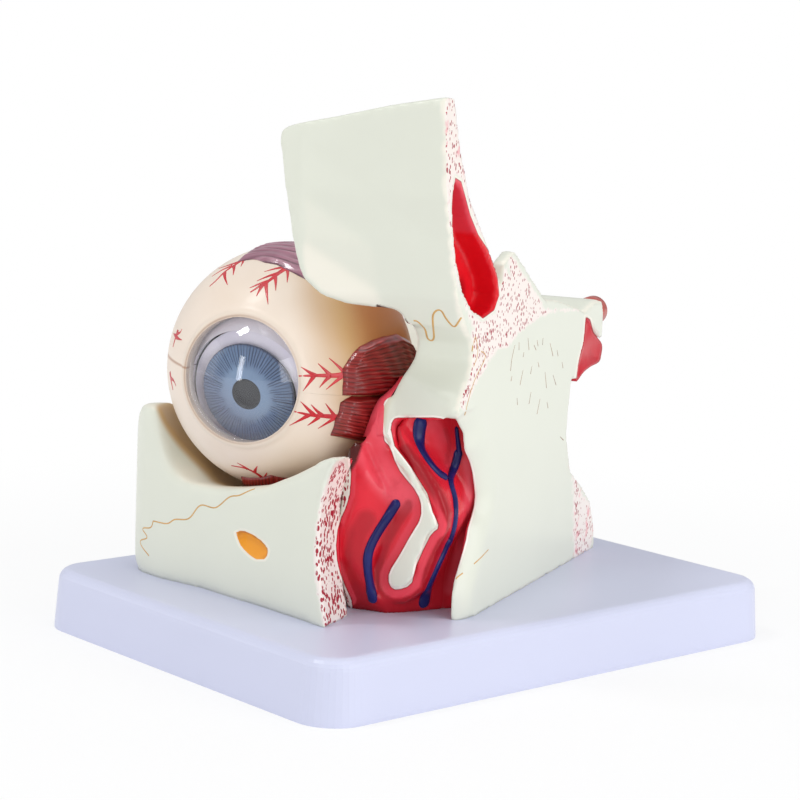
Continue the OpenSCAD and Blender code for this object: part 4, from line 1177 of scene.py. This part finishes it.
class EYEMODEL_OT_muscles(bpy.types.Operator):
    """Cut ends of the eye muscles, with their fibres"""
    bl_idname = "eyemodel.muscles"
    bl_label = "Muscles"

    def execute(self, context):
        # the paler colour of each muscle paint is the painted highlight on its fibre crests
        red = muscle_finish("muscle_paint", paints().muscle, srgb(190, 74, 70))
        # the muscle on top gets the pale mauve paint, a painted sheen from above
        sheen_plum = muscle_finish("upper_muscle_sheen_paint", paints().muscle_top_sheen, srgb(196, 150, 164))
        muscle_patch("medial_muscle_upper", "upper", EYE_ACROSS, EYE_UP, (
            frayed(knots((0, 0.35, 0.54, 0.73, 0.87, 1), (-23.6, -23.4, -23.0, -21.7, -20.0, -17.9)), 0.4, 1),
            18.0, slope(0.1, 0.1),
            knots((0, 0.12, 0.24, 0.45, 0.62, 0.71, 1), (13.6, 15.2, 16.0, 16.3, 14.3, 11.1, 9.0))), red)
        muscle_patch("medial_muscle_lower", "lower", EYE_ACROSS, EYE_UP, (
            frayed(knots((0, 0.15, 0.5, 0.84, 0.93, 1), (-22.9, -23.1, -23.4, -23.6, -22.6, -21.2)), 0.3, 2),
            18.0, knots((0, 0.11, 0.23, 1), (-12.0, -13.0, -14.0, -12.8)), slope(-0.1, -0.1)), red)
        muscle_patch("lateral_muscle_upper", "upper", -EYE_ACROSS, EYE_UP, (
            frayed(slope(2.0, 2.0), 1.0, 3), 23.0, slope(0.35, 0.35), slope(13.2, 11.2)), red)
        muscle_patch("lateral_muscle_lower", "lower", -EYE_ACROSS, EYE_UP, (
            frayed(slope(2.0, 2.0), 1.0, 4), 23.0, slope(-13.2, -11.2), slope(-0.35, -0.35)), red)
        muscle_patch("superior_muscle", "upper", EYE_UP, EYE_ACROSS, (
            frayed(knots((0.05, 0.19, 0.36, 0.52, 0.62, 0.81, 1),
                         (-14.4, -15.0, -17.0, -17.4, -18.2, -18.4, -18.5)), 0.3, 5), 18.0,
            slope(-14.2, -11.8), slope(12.6, 11.1)), sheen_plum, 0.75, True)
        muscle_patch("inferior_muscle", "lower", -EYE_UP, EYE_ACROSS, (
            frayed(knots((0, 0.03, 0.38, 0.72, 0.79, 1), (-18.6, -19.4, -20.8, -22.0, -21.4, -19.6)), 0.3, 6),
            18.0, lambda u: -2.7 - 9.0 * smooth_step(u, 0.1, 0.5), slope(12.6, 11.1)), red, 1.6)
        return {"FINISHED"}


class EYEMODEL_OT_inner_eye(bpy.types.Operator):
    """Inner shell, vitreous body, lens, ring, pins and optic nerve"""
    bl_idname = "eyemodel.inner_eye"
    bl_label = "Inner eye"

    def execute(self, context):
        red, pale = choroid_finish(), ring_finish()
        for node, finish in (
                ("choroid_upper", red), ("choroid_lower", red), ("ciliary_ring", pale),
                ("seam_pin_inner", pale), ("seam_pin_outer", pale), ("optic_nerve", nerve_finish()),
                ("vitreous_body", clear_finish("vitreous_resin", srgb(232, 242, 246), 0.05, 1.34)),
                ("eye_lens", clear_finish("lens_resin", srgb(238, 246, 248), 0.02, 1.45))):
            dress_node(node, finish)
        return {"FINISHED"}


class EYEMODEL_OT_iris(bpy.types.Operator):
    """Iris with its rays, and the dark pupil"""
    bl_idname = "eyemodel.iris"
    bl_label = "Iris"

    def execute(self, context):
        turns, rays, rim, pupil = 672, 84, 14.5, 4.3
        rng = np.random.default_rng(11)
        starts, widths, offs = (rng.uniform(*ends, rays)
                                for ends in ((0.50, 0.66), (0.13, 0.22), (-0.12, 0.12)))
        radii = np.r_[0.0, np.linspace(1.2, 4.15, 6), 4.35, np.linspace(4.6, 14.1, 24), 14.35, rim]
        r, t = np.meshgrid(radii, 2 * math.pi * np.arange(turns) / turns, indexing="ij")
        share, turn = r / rim, t / (2 * math.pi)
        index = (turn * rays).astype(int)
        near = np.abs(turn * rays - index - 0.5 - offs[index % rays])
        ray = (smooth_step(widths[index % rays] - near, 0.0, 0.12)
               * np.clip((share - starts[index % rays]) / 0.05, 0, 1))
        rise = 1.7 - (np.maximum(0.0, r - 4.4) / 10.1) ** 2
        rise = np.where(r < pupil, 1.0 + 0.75 * np.cos(r / pupil * math.pi / 2), rise) - 0.16 * ray
        rise[-1] = ray[-1] = 0.0
        middle = EYE + 23.9 * IRIS_FORWARD - 1.1 * EYE_ACROSS + 0.2 * IRIS_UP
        points = middle + rise[..., None] * IRIS_FORWARD \
            + r[..., None] * (np.cos(t)[..., None] * EYE_ACROSS + np.sin(t)[..., None] * IRIS_UP)
        piece = mesh_object("iris_disc", points.reshape(-1, 3), tube_faces(len(radii), turns, ends=(-1,)),
                            "iris", iris_finish(), ("iris",), merge=False)
        # lean points down and away from the nose: a painted reflection there and painted shade on the
        # opposite side
        lean = share * np.cos(t - math.radians(232))
        for mark, values in (("radius", share), ("turn", turn), ("ray", ray),
                             ("haze", smooth_step(lean, -0.2, 0.95)), ("dusk", smooth_step(-lean, 0.1, 1.0))):
            attribute(piece, mark, values)
        return {"FINISHED"}


class EYEMODEL_OT_cornea(bpy.types.Operator):
    """Clear dome over the iris"""
    bl_idname = "eyemodel.cornea"
    bl_label = "Cornea"

    def execute(self, context):
        rise, r, wall = 8.5, 17.4, 1.2
        dome = (r * r + rise * rise) / (2 * rise)
        inner = dome - wall
        centre = 31.18 + rise - dome
        out, back = (
            [(centre + reach * math.cos(t), reach * math.sin(t)) for t in np.linspace(*turn, 40)]
            for reach, turn in ((dome, (0.0, math.asin(r / dome))), (inner, (math.asin(16.5 / inner), 0.0))))
        foot = [(30.6, 17.4), (30.1, 17.3), (30.0, 17.1), (30.0, 16.8), (30.1, 16.6)]
        points, faces = lathe(out + foot + back, FORWARD, EYE_ACROSS, EYE_UP, EYE, 128)
        mesh_object("clear_dome", points, faces, "cornea", dome_finish(), ("cornea",))
        return {"FINISHED"}


# ---------------------------------------------------------------- drawn lines

SUTURES_PX = (
    (413.6,320.7, 416.5,320.7, 424.8,329, 427.3,338, 431.4,341, 433.9,337.3, 433,325, 433,315, 437.2,310,
     441.4,310.8, 446.3,319, 453.8,327, 457.1,324, 461.3,317.4),)
CHEEK_SUTURES_PX = (
    (255,488.7, 239.4,495.3, 229.5,497, 215.4,507.7, 200.4,505.3, 188.8,518.5, 174.7,519.4, 167.3,523.5,
     153.2,521),
    (153.2,521, 150.7,527.6, 142.4,528.5, 147.4,537.6, 140,541.7, 149,555.8))
NASAL_LINES_PX = (
    (472,351.4, 475.4,336.5, 477.8,353, 473.7,366.3),
    (481.2,351.4, 485.3,357.2, 472.9,384.6, 464.6,415.3),
    (488.4,549.6, 481,557.5, 474,563.9),
    (462.9,573, 457.5,577, 452.7,580))
DASHES_PX = (
    (515,345, 512,358, 510.5,371), (519,342, 519,350), (523,370, 520,385), (517,398, 517.5,405),
    (528,338, 529,350), (543,338, 542.5,345), (550,343, 553,356), (534,345, 536,350), (545,372, 546.5,388),
    (557,350, 558,356), (531,392, 529,404), (540,399, 537,414), (532,366, 530.5,374), (553,375, 556,385),
    (524,352, 523,357), (538,362, 539,367), (547,402, 548,408), (560.2,436.8, 563.4,440.2),
    (562,362, 563,368), (512,376, 511,381), (537,340, 538,346))


class EYEMODEL_OT_bone_lines(bpy.types.Operator):
    """Sutures and fine brown marks on the bone"""
    bl_idname = "eyemodel.bone_lines"
    bl_label = "Bone lines"

    def execute(self, context):
        width = sizes().suture_width / MM
        brown = line_finish("suture_paint", paints().suture, dimmed(paints().suture, 0.8))
        dark = line_finish("dash_paint", srgb(168, 118, 72), srgb(110, 74, 52))
        skull, cheek = surface_of("skull_section"), surface_of("cheek_bone")
        strokes = [drawn_on(tree, pairs(*row), width * share, smooth=smooth)
                   for tree, rows, share, smooth in (
                       (skull, SUTURES_PX, 1.25, True), (cheek, CHEEK_SUTURES_PX, 0.9, False),
                       (skull, NASAL_LINES_PX, 0.8, True)) for row in rows]
        drawn_piece("suture_lines", strokes, "stand", brown)
        strokes = [drawn_on(skull, pairs(*row), width * 0.75, 0.05, taper=(0.5, 1.0)) for row in DASHES_PX]
        drawn_piece("septum_marks", strokes, "stand", dark)
        return {"FINISHED"}


# Each vein with its width's share at both ends
VEINS_PX = (
    ((398.3,500, 392,510.5, 385,521, 377,533.5, 370.5,546, 367.4,558.4, 368.4,572.5, 371,588, 373,603),
     (1.05, 1.0)),
    ((421.7,416.5, 418.6,433.4, 420.4,447.5, 428.8,461.6, 438,472.5, 447,478), (1.6, 0.85)),
    ((456.2,426.5, 457.7,439.7, 459.8,457), (0.36, 0.6)),
    ((459.2,449, 455.3,465, 450.2,477, 450.6,484), (0.95, 0.85)),
    ((449.8,477, 451,486.6, 454.5,497.5, 455.2,508.4, 454.5,522.5, 451.4,535, 447,547), (0.8, 0.95)),
    ((449.3,538, 444.4,550.6, 437.3,566, 430.3,582, 425.6,594, 422.8,608), (0.95, 1.35)))


class EYEMODEL_OT_veins(bpy.types.Operator):
    """Blue veins in the nose"""
    bl_idname = "eyemodel.veins"
    bl_label = "Veins"

    def execute(self, context):
        lining = surface_of("nasal_lining")
        width = sizes().vein_width / MM
        strokes = [drawn_on(lining, pairs(*row), width, 0.85, taper=taper, sunk=0.5, blunt=True, even=14)
                   for row, taper in VEINS_PX]
        drawn_piece("nose_veins", strokes, "stand", vein_finish())
        return {"FINISHED"}


# ---------------------------------------------------------------- stage

def area_lamp(name, at, towards, watts, size):
    lamp = bpy.data.lights.new(name, "AREA")
    lamp.energy, lamp.shape, lamp.size, lamp.size_y = watts, "RECTANGLE", size[0], size[1]
    holder = bpy.data.objects.new(name, lamp)
    bpy.context.scene.collection.objects.link(holder)
    holder.location = at
    holder.rotation_euler = (towards - at).to_track_quat("-Z", "Y").to_euler()


class EYEMODEL_OT_stage(bpy.types.Operator):
    """Floor, soft studio light and the photograph's camera"""
    bl_idname = "eyemodel.stage"
    bl_label = "Stage"

    def execute(self, context):
        scene = context.scene
        scene.view_settings.view_transform = "Standard"
        side = 3.0
        mesh = bpy.data.meshes.new("studio_floor")
        mesh.from_pydata([(-side, -side, 0), (side, -side, 0), (side, side, 0), (-side, side, 0)],
                         [], [(0, 1, 2, 3)])
        mesh.materials.append(floor_finish())
        floor = bpy.data.objects.new("studio_floor", mesh)
        scene.collection.objects.link(floor)
        world = bpy.data.worlds.new("studio")
        world.use_nodes = True
        scene.world = world
        nodes, kept = Nodes(world.node_tree), world.node_tree.nodes
        soft = kept["Background"]
        nodes.feed(soft.inputs[0], (0.96, 0.98, 1.0))
        nodes.feed(soft.inputs[1], 0.51)
        white = nodes.add("ShaderNodeBackground", {0: (1.0, 1.0, 1.0)})
        seen = nodes.add("ShaderNodeLightPath").outputs["Is Camera Ray"]
        mix = nodes.add("ShaderNodeMixShader", {0: seen, 1: soft.outputs[0], 2: white.outputs[0]})
        nodes.feed(kept["World Output"].inputs["Surface"], mix.outputs[0])
        for name, at, watts, size in (
                ("key_left", (-0.25, -0.58, 1.21), 3.6, (0.12, 0.3)),
                ("fill_right", (1.25, 0.25, 0.3), 10.0, (1.3, 1.0)),
                ("top_soft", (0.1, 0.2, 1.4), 4.5, (1.0, 1.0)),
                ("front_strip", (0.31, -1.25, 0.39), 2.3, (0.16, 0.8)),
                ("side_left", (-0.9, -0.9, 0.35), 1.9, (0.9, 0.9))):
            area_lamp(name, Vector(at), Vector((0.0, -0.02, 0.08)), watts, size)
        camera = bpy.data.cameras.new("photo_camera")
        camera.sensor_width = 36.0
        camera.sensor_fit = "HORIZONTAL"
        camera.lens = FOCAL_PX / PHOTO_PX * camera.sensor_width
        camera.clip_start, camera.clip_end = 0.01, 20.0
        holder = bpy.data.objects.new("photo_camera", camera)
        scene.collection.objects.link(holder)
        turn = Matrix((RIGHT, TOP, -LOOK)).transposed().to_4x4()
        turn.translation = Vector(LENS_AT * MM)
        holder.matrix_world = turn
        scene.camera = holder
        return {"FINISHED"}


# ---------------------------------------------------------------- panel and run

PIECES = (
    EYEMODEL_OT_stage, EYEMODEL_OT_base, EYEMODEL_OT_skull, EYEMODEL_OT_cheek, EYEMODEL_OT_nose,
    EYEMODEL_OT_flap, EYEMODEL_OT_stub, EYEMODEL_OT_sclera, EYEMODEL_OT_vessels, EYEMODEL_OT_muscles,
    EYEMODEL_OT_inner_eye, EYEMODEL_OT_iris, EYEMODEL_OT_cornea, EYEMODEL_OT_bone_lines,
    EYEMODEL_OT_veins)


class EYEMODEL_PT_pieces(bpy.types.Panel):
    """Sizes, colours and pieces of the eye model"""
    bl_idname = "EYEMODEL_PT_pieces"
    bl_label = "Eye Anatomy Model"
    bl_space_type = "VIEW_3D"
    bl_region_type = "UI"
    bl_category = "Eye Model"

    def draw(self, context):
        column = self.layout.column()
        for group in (context.scene.eye_model_sizes, context.scene.eye_model_colours):
            for key in group.__annotations__:
                column.prop(group, key)
        for piece in PIECES:
            column.operator(piece.bl_idname)


CLASSES = (EyeModelSizes, EyeModelColours) + PIECES + (EYEMODEL_PT_pieces,)


def register():
    for cls in CLASSES:
        bpy.utils.register_class(cls)
    bpy.types.Scene.eye_model_sizes = bpy.props.PointerProperty(type=EyeModelSizes)
    bpy.types.Scene.eye_model_colours = bpy.props.PointerProperty(type=EyeModelColours)


def unregister():
    del bpy.types.Scene.eye_model_colours
    del bpy.types.Scene.eye_model_sizes
    for cls in reversed(CLASSES):
        bpy.utils.unregister_class(cls)


def main():
    register()
    for piece in PIECES:
        getattr(bpy.ops.eyemodel, piece.bl_idname.split(".")[1])()


if __name__ == "__main__":
    main()
